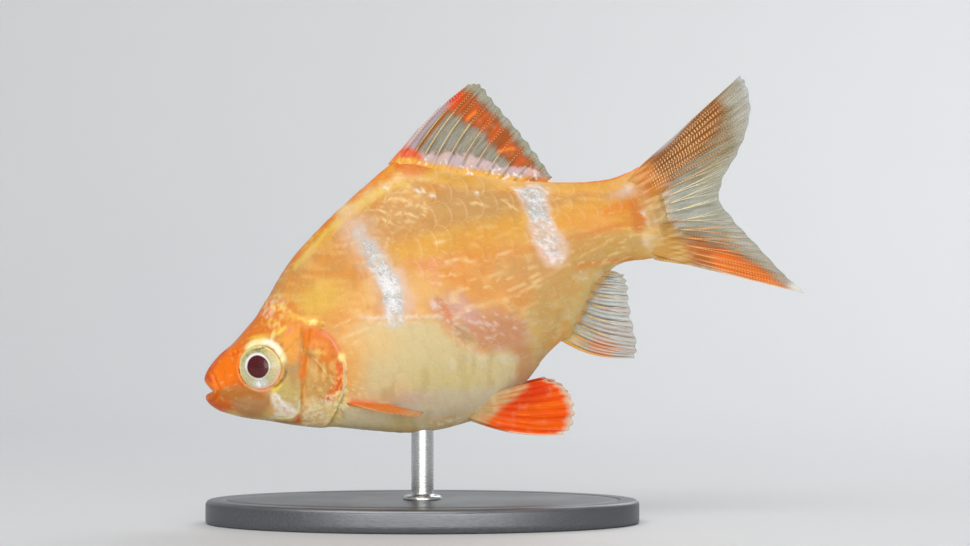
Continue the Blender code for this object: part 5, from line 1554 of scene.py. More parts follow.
def front_spines():
    """The short rays ahead of the stout one, and the saw teeth along its rear edge."""
    pts, quads, tris, us, vs = [], [], [], [], []
    count = 0

    def cone(base, tip, r, sides=6):
        nonlocal count
        base, tip = np.asarray(base, float), np.asarray(tip, float)
        d = tip - base
        d /= np.linalg.norm(d)
        e = np.cross(d, [0.0, 1.0, 0.0])
        e /= np.linalg.norm(e)
        f = np.cross(d, e)
        a = 2 * math.pi * np.arange(sides) / sides
        rings = []
        for t, w in ((0.0, 1.0), (0.35, 0.86), (0.7, 0.55), (0.93, 0.22)):
            rings.append(base + (tip - base) * t + r * w * (np.cos(a)[:, None] * e + np.sin(a)[:, None] * f))
        p = np.vstack(rings + [base[None], tip[None]])
        q = grid_faces(4, sides, wrap=True)
        k = np.arange(sides)
        t3 = np.vstack([np.stack([(k + 1) % sides, k, np.full(sides, 4 * sides)], 1),
                        np.stack([3 * sides + k, 3 * sides + (k + 1) % sides, np.full(sides, 4 * sides + 1)], 1)])
        q, t3 = outward(p, q, t3)
        pts.append(p), quads.append(q + count), tris.append(t3 + count)
        count += len(p)

    for back, share in ((0.75, 0.22), (0.40, 0.44), (0.12, 0.70)):
        base = dorsal.point(np.array(0.0), np.array(0.06))
        tip = dorsal.point(np.array(0.0), np.array(share))
        base, tip = base + [-back, 0, 0.1], tip + [-0.28 * (1 - share), 0, 0.22]
        cone(base, tip, 0.17, 8)
    for v in np.linspace(0.24, 0.86, 21):
        at = dorsal.point(np.array(0.0), np.array(v))
        ahead = dorsal.point(np.array(0.0), np.array(v + 0.02)) - at
        ahead /= np.linalg.norm(ahead)
        behind = np.array([-ahead[2], 0.0, ahead[0]])
        behind *= np.sign(behind[0])
        size = 0.235 * (1 - 0.55 * v)
        for side in (-1, 1):
            root = at + behind * size * 0.45 + np.array([0, side * size * 0.42, 0])
            cone(root, root + behind * 0.30 - ahead * 0.16 + np.array([0, side * 0.03, 0]), 0.075, 5)
    points, quads, tris = np.vstack(pts), np.vstack(quads), np.vstack(tris)
    obj = build_mesh("dorsal_fin_spines", place(points), quads, tris, [ray_mat])
    rgb, _ = dorsal_paint(points, np.zeros(len(points)), np.full(len(points), 0.3), True)
    give(obj, "tint", np.hstack([rgb, np.ones((len(rgb), 1))]))
    give(obj, "cover", np.ones(len(points)))
    give(obj, "at", points)
    give(obj, "along", points[:, 2])
    give(obj, "jointed", np.zeros(len(points)))
    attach(obj, "root")
    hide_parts("dorsal_fin")


front_spines()


# ---------------- tail fin
def tail_flesh(p):
    d = p[..., 0] - 51.3
    return 0.36 * bump_at(np.maximum(d + 0.35, 0), 1.35)


def caudal_paint(points, u, v, ray):
    c = FinPaint(points, "fin ray pale" if ray else "fin olive clear", 1.0 if ray else 0.52)
    s, h = c.s, c.h
    # place across the fan: up for the upper lobe, down for the lower one
    fan = np.clip(np.arctan2(h - 0.3, s - 46.0), -0.9, 0.9)
    up, down = smooth(0.14, 0.36, fan), smooth(-0.20, -0.40, fan)
    mid = (1 - up) * (1 - down)
    q = np.stack([u * 2.2, v * 2.0, np.zeros_like(u)], -1)
    streak = noise(q, 1.0, 224)
    if ray:
        c.lay(mid * 0.75, "fin ray cream")
        c.lay(up * smooth(65, 60, s) * 0.90, "fin orange deep")
        c.lay(up * smooth(65, 58, s) * 0.40, "fin brown orange")
        c.lay(down * 0.80, "fin ray orange")
        c.lay(down * smooth(57, 53, s) * smooth(0.35, 0.6, streak) * 0.60, "fin ray gold")
    else:
        c.solid(0.40)
        c.lay(mid * smooth(51.6, 53.0, s) * 0.95, "fin clear green")
        c.solid(0.86)
        c.area([(640, 168), (662, 146), (690, 118), (712, 100), (728, 98), (724, 122), (712, 146), (692, 162), (668, 182), (654, 190)], "fin brown orange", 0.97, 0.9)
        c.area([(648, 166), (680, 134), (712, 106), (716, 116), (690, 142), (662, 172)], "fin brown deep", 0.45, 0.8)
        c.solid(0.62)
        c.area([(700, 158), (724, 124), (732, 100), (744, 96), (742, 124), (728, 158), (712, 176), (690, 184)], "fin olive clear", 0.70, 1.0)
        c.solid(0.90)
        c.area([(660, 240), (700, 238), (735, 254), (772, 274), (796, 290), (780, 290), (740, 278), (700, 266), (664, 258)], "fin orange deep", 0.97, 0.8)
        c.area([(716, 252), (744, 260), (770, 274), (792, 289), (770, 286), (738, 276), (712, 266)], "fin orange", 0.92, 0.6)
        c.lay(smooth(0.55, 0.35, streak) * down * smooth(56, 51, s) * 0.55, "fin brown deep")
    c.solid(None)
    c.area([(724, 254), (750, 264), (776, 279), (786, 286), (764, 282), (734, 270)], "fin flame", 0.80, 0.5)
    c.solid(0.42)
    c.area([(724, 100), (736, 80), (748, 80), (750, 118), (742, 140), (735, 128), (733, 108)], "fin clear grey", 0.85, 0.8)
    c.area([(726, 210), (744, 226), (762, 248), (796, 286), (792, 290), (758, 262), (736, 240), (722, 224)], "fin clear grey", 0.80, 0.6)
    c.solid(0.88)
    edge_up, _ = distance_to(rounded([(51.3, 5.7), (55.2, 7.1), (60.8, 9.95), (64.4, 11.1)], 30), s, h)
    c.lay(bump_at(edge_up, 0.20) * smooth(52, 55, s) * 0.70, "fin blue white")
    edge_dn, _ = distance_to(rounded([(49.9, -4.5), (53.6, -6.6), (59.0, -10.4), (63.2, -13.1)], 30), s, h)
    c.lay(bump_at(edge_dn, 0.26) * (0.5 + 0.5 * smooth(0.4, 0.6, noise(points, 0.5, 225))) * 0.80, "fin cream")
    c.lay(smooth(61.3, 62.4, s) * smooth(-10.8, -12.0, h) * 0.90, "fin white")
    c.solid(0.55)
    c.lay(smooth(0.965, 0.998, v) * smooth(60, 62, s) * up * 0.65, "fin blue white")
    # root: flesh, short bright streaks between the rays
    c.solid(1.0)
    turn = h - 0.3 - 0.16 * (s - 49.0) * np.clip(h / 3.0, -1, 1)
    comb = noise(np.stack([s * 0.28, np.zeros_like(s), turn * 3.4], -1), 1.0, 226)
    wide = noise(np.stack([s * 0.8, np.zeros_like(s), turn * 1.3], -1), 1.0, 227)
    root_end = 51.15 + 0.20 * np.maximum(h, 0) - 0.60 * np.maximum(h - 2.8, 0) - 0.06 * np.minimum(h, 0)
    reach = smooth(root_end + 1.75, root_end + 0.2, s + 1.7 * (comb - 0.5) + 0.7 * (wide - 0.5))
    held = c.rgb.copy()
    tinted = smooth(root_end + 3.0, root_end + 1.3, s + 1.7 * (comb - 0.5) + 0.7 * (wide - 0.5))
    c.lay(reach * 0.97, "root gold")
    c.solid(None)
    tail_root(c)
    c.rgb[:] = held + tinted[..., None] * (c.rgb - held)
    if ray:
        c.cover[:] = 0.97
        c.cover *= 1 - 0.40 * smooth(0.80, 1.0, v)
    return np.clip(c.rgb, 0, 1), np.clip(c.cover, 0, 1)


def caudal_dots(obj):
    """Where the rows of pale joints show in the tail fin, 0 to 1."""
    at = np.empty(len(obj.data.vertices) * 3, np.float32)
    obj.data.attributes["at"].data.foreach_get("vector", at)
    s, h = at.reshape(-1, 3)[:, 0], at.reshape(-1, 3)[:, 2]
    high = inside(px_line([(648, 172), (668, 148), (694, 118), (714, 104), (722, 112), (712, 140), (694, 162), (672, 180), (656, 190)], 72, closed=True), s, h)
    low = inside(px_line([(668, 242), (700, 244), (736, 258), (770, 276), (784, 286), (764, 282), (730, 272), (694, 260)], 64, closed=True), s, h)
    return np.maximum(0.85 * smooth(-0.4, 0.8, high), 0.35 * smooth(-0.3, 0.6, low))


UPPER_ROOT = [(49.4, 4.75), (49.2, 3.5), (49.2, 2.0), (49.2, 0.35)]
UPPER_EDGE = [(64.72, 11.14), (65.05, 10.10), (64.62, 7.50), (63.35, 5.35), (61.45, 3.25), (59.35, 1.55), (58.02, -0.56)]
LOWER_ROOT = [(49.2, 0.35), (49.2, -1.0), (49.2, -2.4), (49.0, -3.45)]
LOWER_EDGE = [(58.02, -0.56), (59.05, -3.7), (60.40, -6.8), (61.70, -9.9), (62.80, -12.0), (63.35, -13.06)]
for label, rays, root, edge, node, seed in (("upper", 10, UPPER_ROOT, UPPER_EDGE, "caudal_fin_upper", 3), ("lower", 9, LOWER_ROOT, LOWER_EDGE, "caudal_fin_lower", 3)):
    fin = Fin(node, rays, root, edge, upright, (0, 0), 0.14, 0.0, 50, seed=seed)
    a = fin.membrane(membrane_mat if label == "upper" else red_membrane_mat, caudal_paint, tail_flesh, per_ray=9, pleat_shade=0.45)
    b = fin.strands(ray_mat if label == "upper" else red_ray_mat, caudal_paint, (0.100, 0.024), (0.28, 0.52), 0.62, plain=1 if label == "upper" else 0, skip=0 if label == "upper" else 1)
    give(a, "dotted", caudal_dots(a))
    fin_done(label, node)


# the short stiff rays along the tail fin's outer edges
def edge_rays():
    pts, quads, tris = [], [], []
    count = 0
    for sign, root, reach in ((1, [(49.6, 5.1), (51.2, 5.55), (54.5, 6.72)], 4), (-1, [(49.4, -4.0), (50.8, -4.95), (54.3, -6.95)], 4)):
        line = rounded(root, 40)
        for k in range(reach):
            a, b = 0.0 + 0.06 * k, 0.50 + 0.14 * k
            path = line[int(a * 39):int(b * 39) + 1] + np.array([0.0, sign * (0.02 - 0.045 * k)])
            n = len(path)
            w = 0.115 * (1 - np.linspace(0, 1, n) ** 2.0 * 0.85)
            t = np.gradient(path, axis=0)
            t /= np.linalg.norm(t, axis=1, keepdims=True)
            across = np.stack([-t[:, 1], t[:, 0]], -1)
            ang = 2 * math.pi * np.arange(6) / 6
            off = w[:, None] * np.cos(ang)
            p = upright(path[:, :1] + across[:, :1] * off, path[:, 1:] + across[:, 1:] * off, w[:, None] * np.sin(ang) * 1.2)
            p = np.vstack([p.reshape(-1, 3), p[0].mean(0), p[-1].mean(0)])
            q = grid_faces(n, 6, wrap=True)
            i = np.arange(6)
            t3 = np.vstack([np.stack([(i + 1) % 6, i, np.full(6, n * 6)], 1), np.stack([(n - 1) * 6 + i, (n - 1) * 6 + (i + 1) % 6, np.full(6, n * 6 + 1)], 1)])
            q, t3 = outward(p, q, t3)
            pts.append(p), quads.append(q + count), tris.append(t3 + count)
            count += len(p)
    points = np.vstack(pts)
    obj = build_mesh("caudal_fin_edge_rays", place(points), np.vstack(quads), np.vstack(tris), [ray_mat])
    rgb, _ = caudal_paint(points, np.zeros(len(points)), np.full(len(points), 0.2), True)
    give(obj, "tint", np.hstack([rgb, np.ones((len(rgb), 1))]))
    give(obj, "cover", np.ones(len(points)))
    give(obj, "at", points)
    give(obj, "along", points[:, 0])
    give(obj, "jointed", np.ones(len(points)) * 0.5)
    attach(obj, "root")
    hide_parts("caudal_fin_upper")


edge_rays()


# ---------------- anal fin
def below_belly(p):
    s, h = p[..., 0], p[..., 2]
    _, bottom, *_ = section(np.clip(s, 30, 50.9))
    return (bottom + COAT_DEPTH) - h


def anal_flesh(p):
    return 0.45 * bump_at(np.maximum(below_belly(p) + 0.3, 0), 0.75)


def anal_paint(points, u, v, ray):
    c = FinPaint(points, "fin ray gold" if ray else "fin clear grey", 1.0 if ray else 0.50)
    d = below_belly(points)
    streak = noise(np.stack([u * 2.4, v * 1.6, np.zeros_like(u)], -1), 1.0, 231)
    split = 0.5 + 0.5 * np.cos(2 * math.pi * (3.0 * u + 0.35 * (streak - 0.5)))
    if ray:
        c.lay(smooth(0.40, 0.65, v) * 0.80, "fin blue white")
        c.lay(smooth(0.50, 0.70, streak) * smooth(0.75, 0.45, v) * 0.75, "fin ray orange")
        c.lay(smooth(2.2, 0.8, u) * smooth(0.95, 0.70, v) * 0.70, "fin ray orange")
        c.lay(smooth(0.55, 0.35, streak) * 0.45, "fin yellow")
    else:
        c.lay(smooth(0.5, 0.15, v) * smooth(0.45, 0.65, streak) * 0.30, "fin smoke")
        c.lay(smooth(0.40, 0.70, streak) * 0.45, "fin pink sheath")
        c.lay(smooth(0.60, 0.40, streak) * smooth(0.3, 0.7, v) * 0.40, "fin blue white")
        c.solid(0.80)
        c.lay(smooth(2.3, 0.9, u + 0.5 * (streak - 0.5)) * smooth(0.38, 0.50, v) * smooth(0.82, 0.66, v) * 0.80, "fin ray orange")
        c.solid(0.62)
        c.lay(smooth(3.4, 1.5, u) * smooth(0.45, 0.70, streak) * smooth(0.9, 0.7, v) * 0.45, "fin ray brown")
        c.lay(smooth(2.4, 0.6, u) * smooth(0.5, 0.2, v) * 0.60, "fin yellow")
        c.solid(0.40)
        c.lay(smooth(5.0, 8.0, u) * 0.45, "fin clear green")
        c.solid(0.78)
        c.lay(smooth(0.62, 0.95, split) * smooth(0.32, 0.55, v) * 0.60, "fin blue white")
        c.lay(smooth(0.32, 0.04, split) * smooth(0.18, 0.45, v) * smooth(1.0, 0.9, v) * 0.55, "fin smoke")
    c.solid(0.97)
    reach = 0.42 + 0.7 * (fractal(points, 0.8, 230) - 0.5) + 0.9 * (streak - 0.5)
    c.lay(smooth(reach + 0.40, reach - 0.45, d) * 0.92, "rear")
    if ray:
        c.cover[:] = 0.96
        c.cover *= 1 - 0.35 * smooth(0.85, 1.0, v)
    return np.clip(c.rgb, 0, 1), np.clip(c.cover, 0, 1)


ANAL_ROOT = [(36.8, -8.3), (39.0, -6.2), (41.2, -4.5), (43.2, -3.2)]
ANAL_EDGE = [(43.85, -13.30), (44.55, -12.2), (44.95, -9.6), (45.40, -7.3), (45.85, -5.7), (45.80, -4.6)]
anal = Fin("anal_fin", 9, ANAL_ROOT, ANAL_EDGE, upright, (-0.75, 0.2), 0.22, 0.12, 40, seed=5)
a = anal.membrane(membrane_mat, anal_paint, anal_flesh, per_ray=20, pleat_shade=0.55)
b = anal.strands(ray_mat, anal_paint, (0.095, 0.022), (0.36, 0.64), 0.40, plain=1, first=1.6, jointed=0.5)
fin_done("anal", "anal_fin")

# ---------------- pelvic and pectoral fins
PELVIC_ROOT = [(25.1, -13.3), (26.0, -12.7), (26.9, -12.1), (27.7, -11.6)]
PELVIC_EDGE = [(33.9, -18.1), (35.1, -17.6), (35.9, -16.2), (36.1, -14.6), (35.5, -13.1), (34.2, -12.05)]
PECTORAL_AT = (15.1, -7.9)
PECTORAL_ROOT = [(-1.3, -0.85), (-1.3, -0.25), (-1.3, 0.35), (-1.3, 0.95)]
PECTORAL_EDGE = [(6.8, -1.75), (7.6, -0.85), (7.9, 0.4), (7.6, 1.65), (6.7, 2.75), (5.4, 3.5)]


def pelvic_side(side):
    def to_body(s, h, t):
        s, h, t = np.broadcast_arrays(s, h, t)
        return np.stack([s, side * (1.35 + 0.30 * (s - 26.0)) + t, h], -1)
    return to_body


def pectoral_side(side):
    sweep, drop = math.radians(47.0), math.radians(23.9)
    base = float(half_width(*PECTORAL_AT))

    def to_body(a, b, t):
        a, b, t = np.broadcast_arrays(a, b, t)
        along = a * math.cos(sweep) + b * math.sin(sweep)
        out = a * math.sin(sweep) - b * math.cos(sweep)
        s = PECTORAL_AT[0] + along * math.cos(drop) + t * math.sin(drop)
        h = PECTORAL_AT[1] - along * math.sin(drop) + t * math.cos(drop) - 0.10 * out
        return np.stack([s, side * (base + out), h], -1)
    return to_body


def pelvic_paint(points, u, v, ray):
    c = FinPaint(points, "fin red light" if ray else "fin red", 1.0 if ray else 0.97)
    streak = noise(np.stack([u * 3.0, v * 1.2, np.zeros_like(u)], -1), 1.0, 240)
    c.lay(smooth(0.45, 0.75, streak) * (0.55 if ray else 0.35), "fin red light")
    c.lay(smooth(0.50, 0.25, streak) * 0.25, "fin red deep")
    c.lay(smooth(4.6, 6.6, u) * smooth(0.98, 0.7, v) * 0.75, "fin red deep")
    c.lay(smooth(0.38, 0.08, v) * 0.75, "fin orange")
    root = [(460, 428), (466, 412), (480, 400), (500, 390), (527, 383), (516, 395), (502, 405), (492, 414), (484, 424)]
    c.area([(500, 402), (518, 389), (538, 380), (552, 386), (542, 398), (522, 410), (498, 414)], "fin red deep", 0.80, 0.8, 0.3)
    comb = noise(np.stack([u * 6.5, v * 0.8, np.zeros_like(u)], -1), 1.0, 244)
    within = inside(px_line(root, 72, closed=True), c.s + 1.5 * (comb - 0.5), c.h)
    near = smooth(-0.50, 0.35, within)
    c.lay(near * 0.95, "fin pelvic root")
    c.lay(near * smooth(0.5, 0.7, noise(points, 0.6, 242)) * 0.60, "fin pelvic pale")
    beside, _ = distance_to(px_line([(527, 383), (516, 395), (502, 405), (492, 414), (484, 424)], 50), c.s, c.h)
    c.lay(near * smooth(1.3, 0.2, np.abs(beside)) * smooth(0.46, 0.62, comb) * 0.60, "fin pec deep")
    ragged = noise(np.stack([u * 5.0, np.zeros_like(u), np.zeros_like(u)], -1), 1.0, 241)
    c.solid(0.50)
    c.lay(smooth(0.91, 0.985, v + 0.07 * (ragged - 0.5)) * 0.80, "fin cream")
    c.solid(0.70)
    c.lay(smooth(0.30, 0.05, u) * smooth(0.25, 0.55, v) * 0.55, "fin cream")
    c.solid(None)
    if ray:
        c.cover[:] = 1 - 0.30 * smooth(0.92, 1.0, v)
    return np.clip(c.rgb, 0, 1), np.clip(c.cover, 0, 1)


def pectoral_paint(points, u, v, ray):
    c = FinPaint(points, "fin ray orange" if ray else "fin red light", 1.0 if ray else 0.62)
    lead = smooth(2.6, 0.4, u)
    streak = noise(np.stack([u * 2.6, v * 1.4, np.zeros_like(u)], -1), 1.0, 243)
    c.lay(smooth(0.45, 0.70, streak) * 0.35, "fin pec deep")
    c.lay(smooth(0.58, 0.90, v) * 0.80, "fin pec pale")
    if not ray:
        c.solid(0.85)
    c.lay(lead * smooth(0.95, 0.60, v) * 0.80, "fin pec")
    c.solid(0.90)
    c.lay(smooth(0.90, 0.55, v) * 0.65, "fin pec")
    c.solid(0.97)
    c.lay(smooth(0.30, 0.12, v) * 0.70, "fin pec deep")
    if ray:
        c.cover[:] = 0.96 - 0.3 * smooth(0.9, 1.0, v)
    return np.clip(c.rgb, 0, 1), np.clip(c.cover, 0, 1)


def pelvic_flesh(p):
    _, bottom, *_ = section(np.clip(p[..., 0], 20, 50))
    d = np.maximum(p[..., 0] - 27.6, 0)
    return 0.30 * bump_at(d, 1.3)


def pectoral_flesh(p):
    out = np.abs(p[..., 1]) - half_width(p[..., 0], p[..., 2])
    return 0.20 * bump_at(np.maximum(out + 0.2, 0), 0.9)


for label, side, seed in (("left", -1, 7), ("right", 1, 8)):
    fin = Fin("pelvic_fin_" + label, 9, PELVIC_ROOT, PELVIC_EDGE, pelvic_side(side), (-0.62, 0.1), 0.26, 0.10, 36, seed=seed)
    a = fin.membrane(red_membrane_mat, pelvic_paint, pelvic_flesh, 0.04, per_ray=8)
    b = fin.strands(red_ray_mat, pelvic_paint, (0.085, 0.022), (0.26, 0.52), 0.50, plain=1, first=1.6, jointed=0.0)
    fin_done(label, "pelvic_fin_" + label)
    fin = Fin("pectoral_fin_" + label, 12, PECTORAL_ROOT, PECTORAL_EDGE, pectoral_side(side), (0.0, 0.0), 0.16, 0.10, 36, seed=seed + 4)
    a = fin.membrane(membrane_mat, pectoral_paint, pectoral_flesh, 0.03, 5)
    b = fin.strands(ray_mat, pectoral_paint, (0.085, 0.02), (0.45, 0.72), 0.36, plain=1, first=1.6)
    fin_done(label, "pectoral_fin_" + label)


# =========================================================== scales
# Thin plates in rows along the body. Each is rooted in the skin, lies back over
# the next ones and ends in a rounded free edge, like tiles on a roof.
AXIS_AT = np.array([(9.0, 0.6), (15.0, -0.4), (19.0, -0.3), (23.0, 0.1), (27.3, 0.5), (31.0, 0.4), (35.0, 0.45),
                    (39.0, 0.6), (43.0, 1.15), (46.0, 1.2), (48.5, 0.9), (51.0, 0.58)])
ROW_STEP = np.array([(9.0, 1.7), (12.0, 2.0), (15.0, 2.25), (20.0, 2.5), (27.0, 2.6), (33.0, 2.45), (39.0, 2.1),
                     (43.0, 1.75), (47.0, 1.5), (51.0, 1.35)])
ALONG_STEP = np.array([(9.0, 1.15), (12.0, 1.30), (16.0, 1.50), (24.0, 1.66), (36.0, 1.66), (44.0, 1.45), (51.0, 1.15)])
PLATE_DEEP, PLATE_HIGH, PLATE_THICK = 0.128, 0.052, 0.014
A_CELLS, T_CELLS = 10, 12
FIRST_S, LAST_S = 8.0, 50.9

table_s = np.linspace(FIRST_S, S_LAST, 420)
table_turn = np.linspace(0, math.pi, 241)
table_ring = ring_point(table_s[:, None], np.broadcast_to(table_turn, (420, 241)))
steps = np.linalg.norm(np.diff(table_ring, axis=1), axis=2)
table_arc = np.hstack([np.zeros((420, 1)), np.cumsum(steps, axis=1)])
axis_h = hermite(table_s, AXIS_AT[:, 0], AXIS_AT[:, 1])
table_axis = np.array([np.interp(-axis_h[i], -table_ring[i, :, 2], table_arc[i]) for i in range(420)])
table_total = table_arc[:, -1]


def turn_at(sigma, w):
    """The turn round the section where the distance down from the axis line is w."""
    x = np.clip((sigma - FIRST_S) / (S_LAST - FIRST_S) * 419, 0, 418.999)
    i = x.astype(int)
    f = x - i
    out = 0.0
    for k, share in ((i, 1 - f), (i + 1, f)):
        arc = table_axis[k] + w
        flat_k, flat_arc = k.ravel(), arc.ravel()
        turn = np.empty(flat_k.shape)
        for row in np.unique(flat_k):
            m = flat_k == row
            turn[m] = np.interp(flat_arc[m], table_arc[row], table_turn)
        out = out + share * turn.reshape(k.shape)
    return out


def edges_at(sigma):
    """How far the back (negative) and the belly lie from the axis line, along the surface."""
    axis = np.interp(sigma, table_s, table_axis)
    return -axis, np.interp(sigma, table_s, table_total) - axis


def surface(sigma, turn):
    """Points and outward normals of the body's surface."""
    p = slimmed(ring_point(sigma, turn))
    a = slimmed(ring_point(sigma + 0.03, turn)) - slimmed(ring_point(sigma - 0.03, turn))
    b = slimmed(ring_point(sigma, np.minimum(turn + 0.004, math.pi))) - slimmed(ring_point(sigma, np.maximum(turn - 0.004, 0.0)))
    n = np.cross(a, b)
    n /= np.linalg.norm(n, axis=-1, keepdims=True) + 1e-12
    outwards = np.sign(n[..., 1] * p[..., 1] + 1e-9 + 0.2 * n[..., 2] * np.sign(p[..., 2]))
    return p, n * outwards[..., None]


def scale_sites():
    """Where each scale's root sits, and how large it is."""
    sites = []
    stops = [FIRST_S]
    while stops[-1] < LAST_S:
        stops.append(stops[-1] + float(hermite(stops[-1], ALONG_STEP[:, 0], ALONG_STEP[:, 1])))
    stops = np.array(stops)
    fine_s = np.linspace(FIRST_S, LAST_S, 300)
    for j in range(-8, 9):
        step = hermite(fine_s, ROW_STEP[:, 0], ROW_STEP[:, 1])
        w = j * step
        up, down = edges_at(fine_s)
        ok = (w > up) & (w < down)
        ring = ring_point(fine_s, turn_at(fine_s, np.clip(w, up, down)))
        line = np.vstack([px_line([(264, 300), (276, 306), (288, 312), (300, 317), (318, 320)], 30), COVER_RIM[6:]])
        d, _ = distance_to(line, ring[:, 0], ring[:, 2])
        d = d * ZONE_SIGN
        start = fine_s[np.argmax(d > 0.34)] if (d > 0.34).any() else 99.0
        for i, at in enumerate(stops):
            pitch = float(hermite(at, ALONG_STEP[:, 0], ALONG_STEP[:, 1]))
            root = at + (0.5 * pitch if j % 2 else 0.0) + 0.10 * pitch * (rng.random() - 0.5)
            length = 2.02 * pitch
            if root + length < start + 0.5 * pitch or root + length > 51.6:
                continue
            t0 = max(0.0, (start - root) / length)
            centre = root + 0.6 * length
            here = float(np.interp(centre, fine_s, w))
            lo, hi = (float(x) for x in edges_at(np.array(centre)))
            wide = 0.66 * float(np.interp(centre, fine_s, step))
            above, below = min(wide, here - lo - 0.03), min(wide, hi - here - 0.03)
            if above < 0.30 * wide or below < 0.30 * wide or not ok[np.abs(fine_s - min(centre, LAST_S)).argmin()]:
                continue
            sites.append((root, length, j, t0, above, below, rng.random(), rng.random()))
    return np.array(sites)


sites = scale_sites()
print("scales per side", len(sites))


def scales_on(label, side):
    root, length, row, t0, above, below, r1, r2 = (sites[:, k][:, None, None] for k in range(8))
    a = np.linspace(-1, 1, A_CELLS + 1)[None, :, None]
    t = np.linspace(0, 1, T_CELLS + 1)[None, None, :]
    t = np.maximum(t0, 0.0) + (1 - np.maximum(t0, 0.0)) * t
    # rounded outline: narrow at the root, widest past the middle, an arc behind
    shape = 0.62 + 0.38 * smooth(0.0, 0.5, t)
    rounding = (0.20 * a**2 + 0.20 * a**8) * np.clip((t - 0.3) / 0.7, 0, 1)
    sigma = root + length * (t - rounding + 0.05 * a**2 * (1 - t))
    step = hermite(sigma, ROW_STEP[:, 0], ROW_STEP[:, 1])
    reach = np.where(a < 0, above, below) * shape
    w = row * step + a * reach
    lo, hi = edges_at(sigma)
    w = np.clip(w, lo + 0.012, hi - 0.012)
    n = len(sites)
    turn = turn_at(sigma, w)
    p, normal = surface(sigma, turn)
    back = (sigma - root) / length
    lift = -PLATE_DEEP + (PLATE_DEEP - PLATE_HIGH) * back
    lift = lift - 0.008 * smooth(0.84, 1.0, t) * (1.4 - r1) + 0.006 * (1 - np.abs(a) ** 2) * smooth(0.2, 0.6, t)
    # fine rays that spread from the root over the exposed part
    fan = np.cos(a * 15.0 + 6.28 * r2) * 0.0022 * smooth(0.45, 0.75, t)
    lift = lift + fan
    # thin behind, thicker at the sides, where it rests on its neighbours
    thin = PLATE_THICK * (1 - 0.45 * smooth(0.75, 1.0, t) * (1 - np.abs(a) ** 3)) + 0.014 * np.abs(a) ** 6
    top = p + normal * lift[..., None]
    bottom = p + normal * (lift - thin)[..., None]
    cols, rows = A_CELLS + 1, T_CELLS + 1
    per = cols * rows
    face = grid_faces(cols, rows)
    under = grid_faces(cols, rows, start=per, flip=True)
    rim = ([(i, 0) for i in range(cols)] + [(cols - 1, k) for k in range(1, rows)]
           + [(i, rows - 1) for i in range(cols - 2, -1, -1)] + [(0, k) for k in range(rows - 2, 0, -1)])
    idx = np.array([i * rows + k for i, k in rim])
    nxt = np.roll(idx, -1)
    skirt = np.stack([nxt, idx, idx + per, nxt + per], 1)
    one = np.vstack([face, under, skirt])
    quads = (one[None] + (np.arange(n) * 2 * per)[:, None, None]).reshape(-1, 4)
    points = np.concatenate([top.reshape(n, per, 3), bottom.reshape(n, per, 3)], axis=1).reshape(-1, 3)
    points[:, 1] *= side
    # every plate's faces point out
    probe = n // 2
    c = points[probe * 2 * per:(probe + 1) * 2 * per]
    tri = np.vstack([one[:, [0, 1, 2]], one[:, [0, 2, 3]]])
    world = place(c) * 1000
    m = world.mean(0)
    if np.einsum("ij,ij->i", world[tri[:, 0]] - m, np.cross(world[tri[:, 1]] - m, world[tri[:, 2]] - m)).sum() < 0:
        quads = quads[:, ::-1]
    obj = build_mesh("scales_" + label, place(points), quads, None, [scale_mat])
    # the thin side of each plate keeps its own shading
    pairs = np.empty(len(obj.data.edges) * 2, np.int32)
    obj.data.edges.foreach_get("vertices", pairs)
    pairs = np.sort(pairs.reshape(-1, 2).astype(np.int64), axis=1)
    total = len(points)
    ends = (np.stack([idx, nxt], 1)[None] + (np.arange(n) * 2 * per)[:, None, None]).reshape(-1, 2)
    ends = np.sort(np.vstack([ends, ends + per]).astype(np.int64), axis=1)
    sharp = np.isin(pairs[:, 0] * total + pairs[:, 1], ends[:, 0] * total + ends[:, 1])
    obj.data.attributes.new("sharp_edge", "BOOLEAN", "EDGE").data.foreach_set("value", sharp)
    colours = fish_colours(top.reshape(-1, 3) * np.array([1, side, 1])).reshape(n, per, 3)
    # each scale has a shade of its own
    own = 1 + 0.03 * (r2 - 0.5)
    colours = np.clip(colours * own, 0, 1)
    both = np.concatenate([colours, colours], axis=1).reshape(-1, 3)
    give(obj, "tint", np.hstack([both, np.ones((len(both), 1))]))
    give(obj, "at", points)
    aa, tt = np.broadcast_to(a, t.shape[:1] + (cols, rows)), np.broadcast_to(t, (n, cols, rows))
    # rim is a painted highlight along each plate's free edge, root a painted shade just behind the edge of the plate in
    # front
    edge = smooth(0.90, 1.0, tt) * (1 - 0.5 * np.abs(aa)) + 0.5 * smooth(0.86, 1.0, np.abs(aa)) * smooth(0.4, 0.7, tt)
    shade = smooth(0.72, 0.48, tt)
    # free edges catch the light mostly over the back
    high = height_share(top[..., 0], top[..., 2])
    patchy = smooth(0.40, 0.62, noise(top * np.array([1, side, 1]), 3.2, 251))
    edge = edge * (0.16 + 0.84 * smooth(0.48, 0.66, high) * patchy * smooth(15.0, 21.0, top[..., 0]) * (1 - 0.45 * smooth(40, 46, top[..., 0])))
    for name, value in (("rim", edge), ("root", shade)):
        value = np.broadcast_to(value, (n, cols, rows)).reshape(n, per)
        give(obj, name, np.concatenate([value, value], axis=1).ravel())
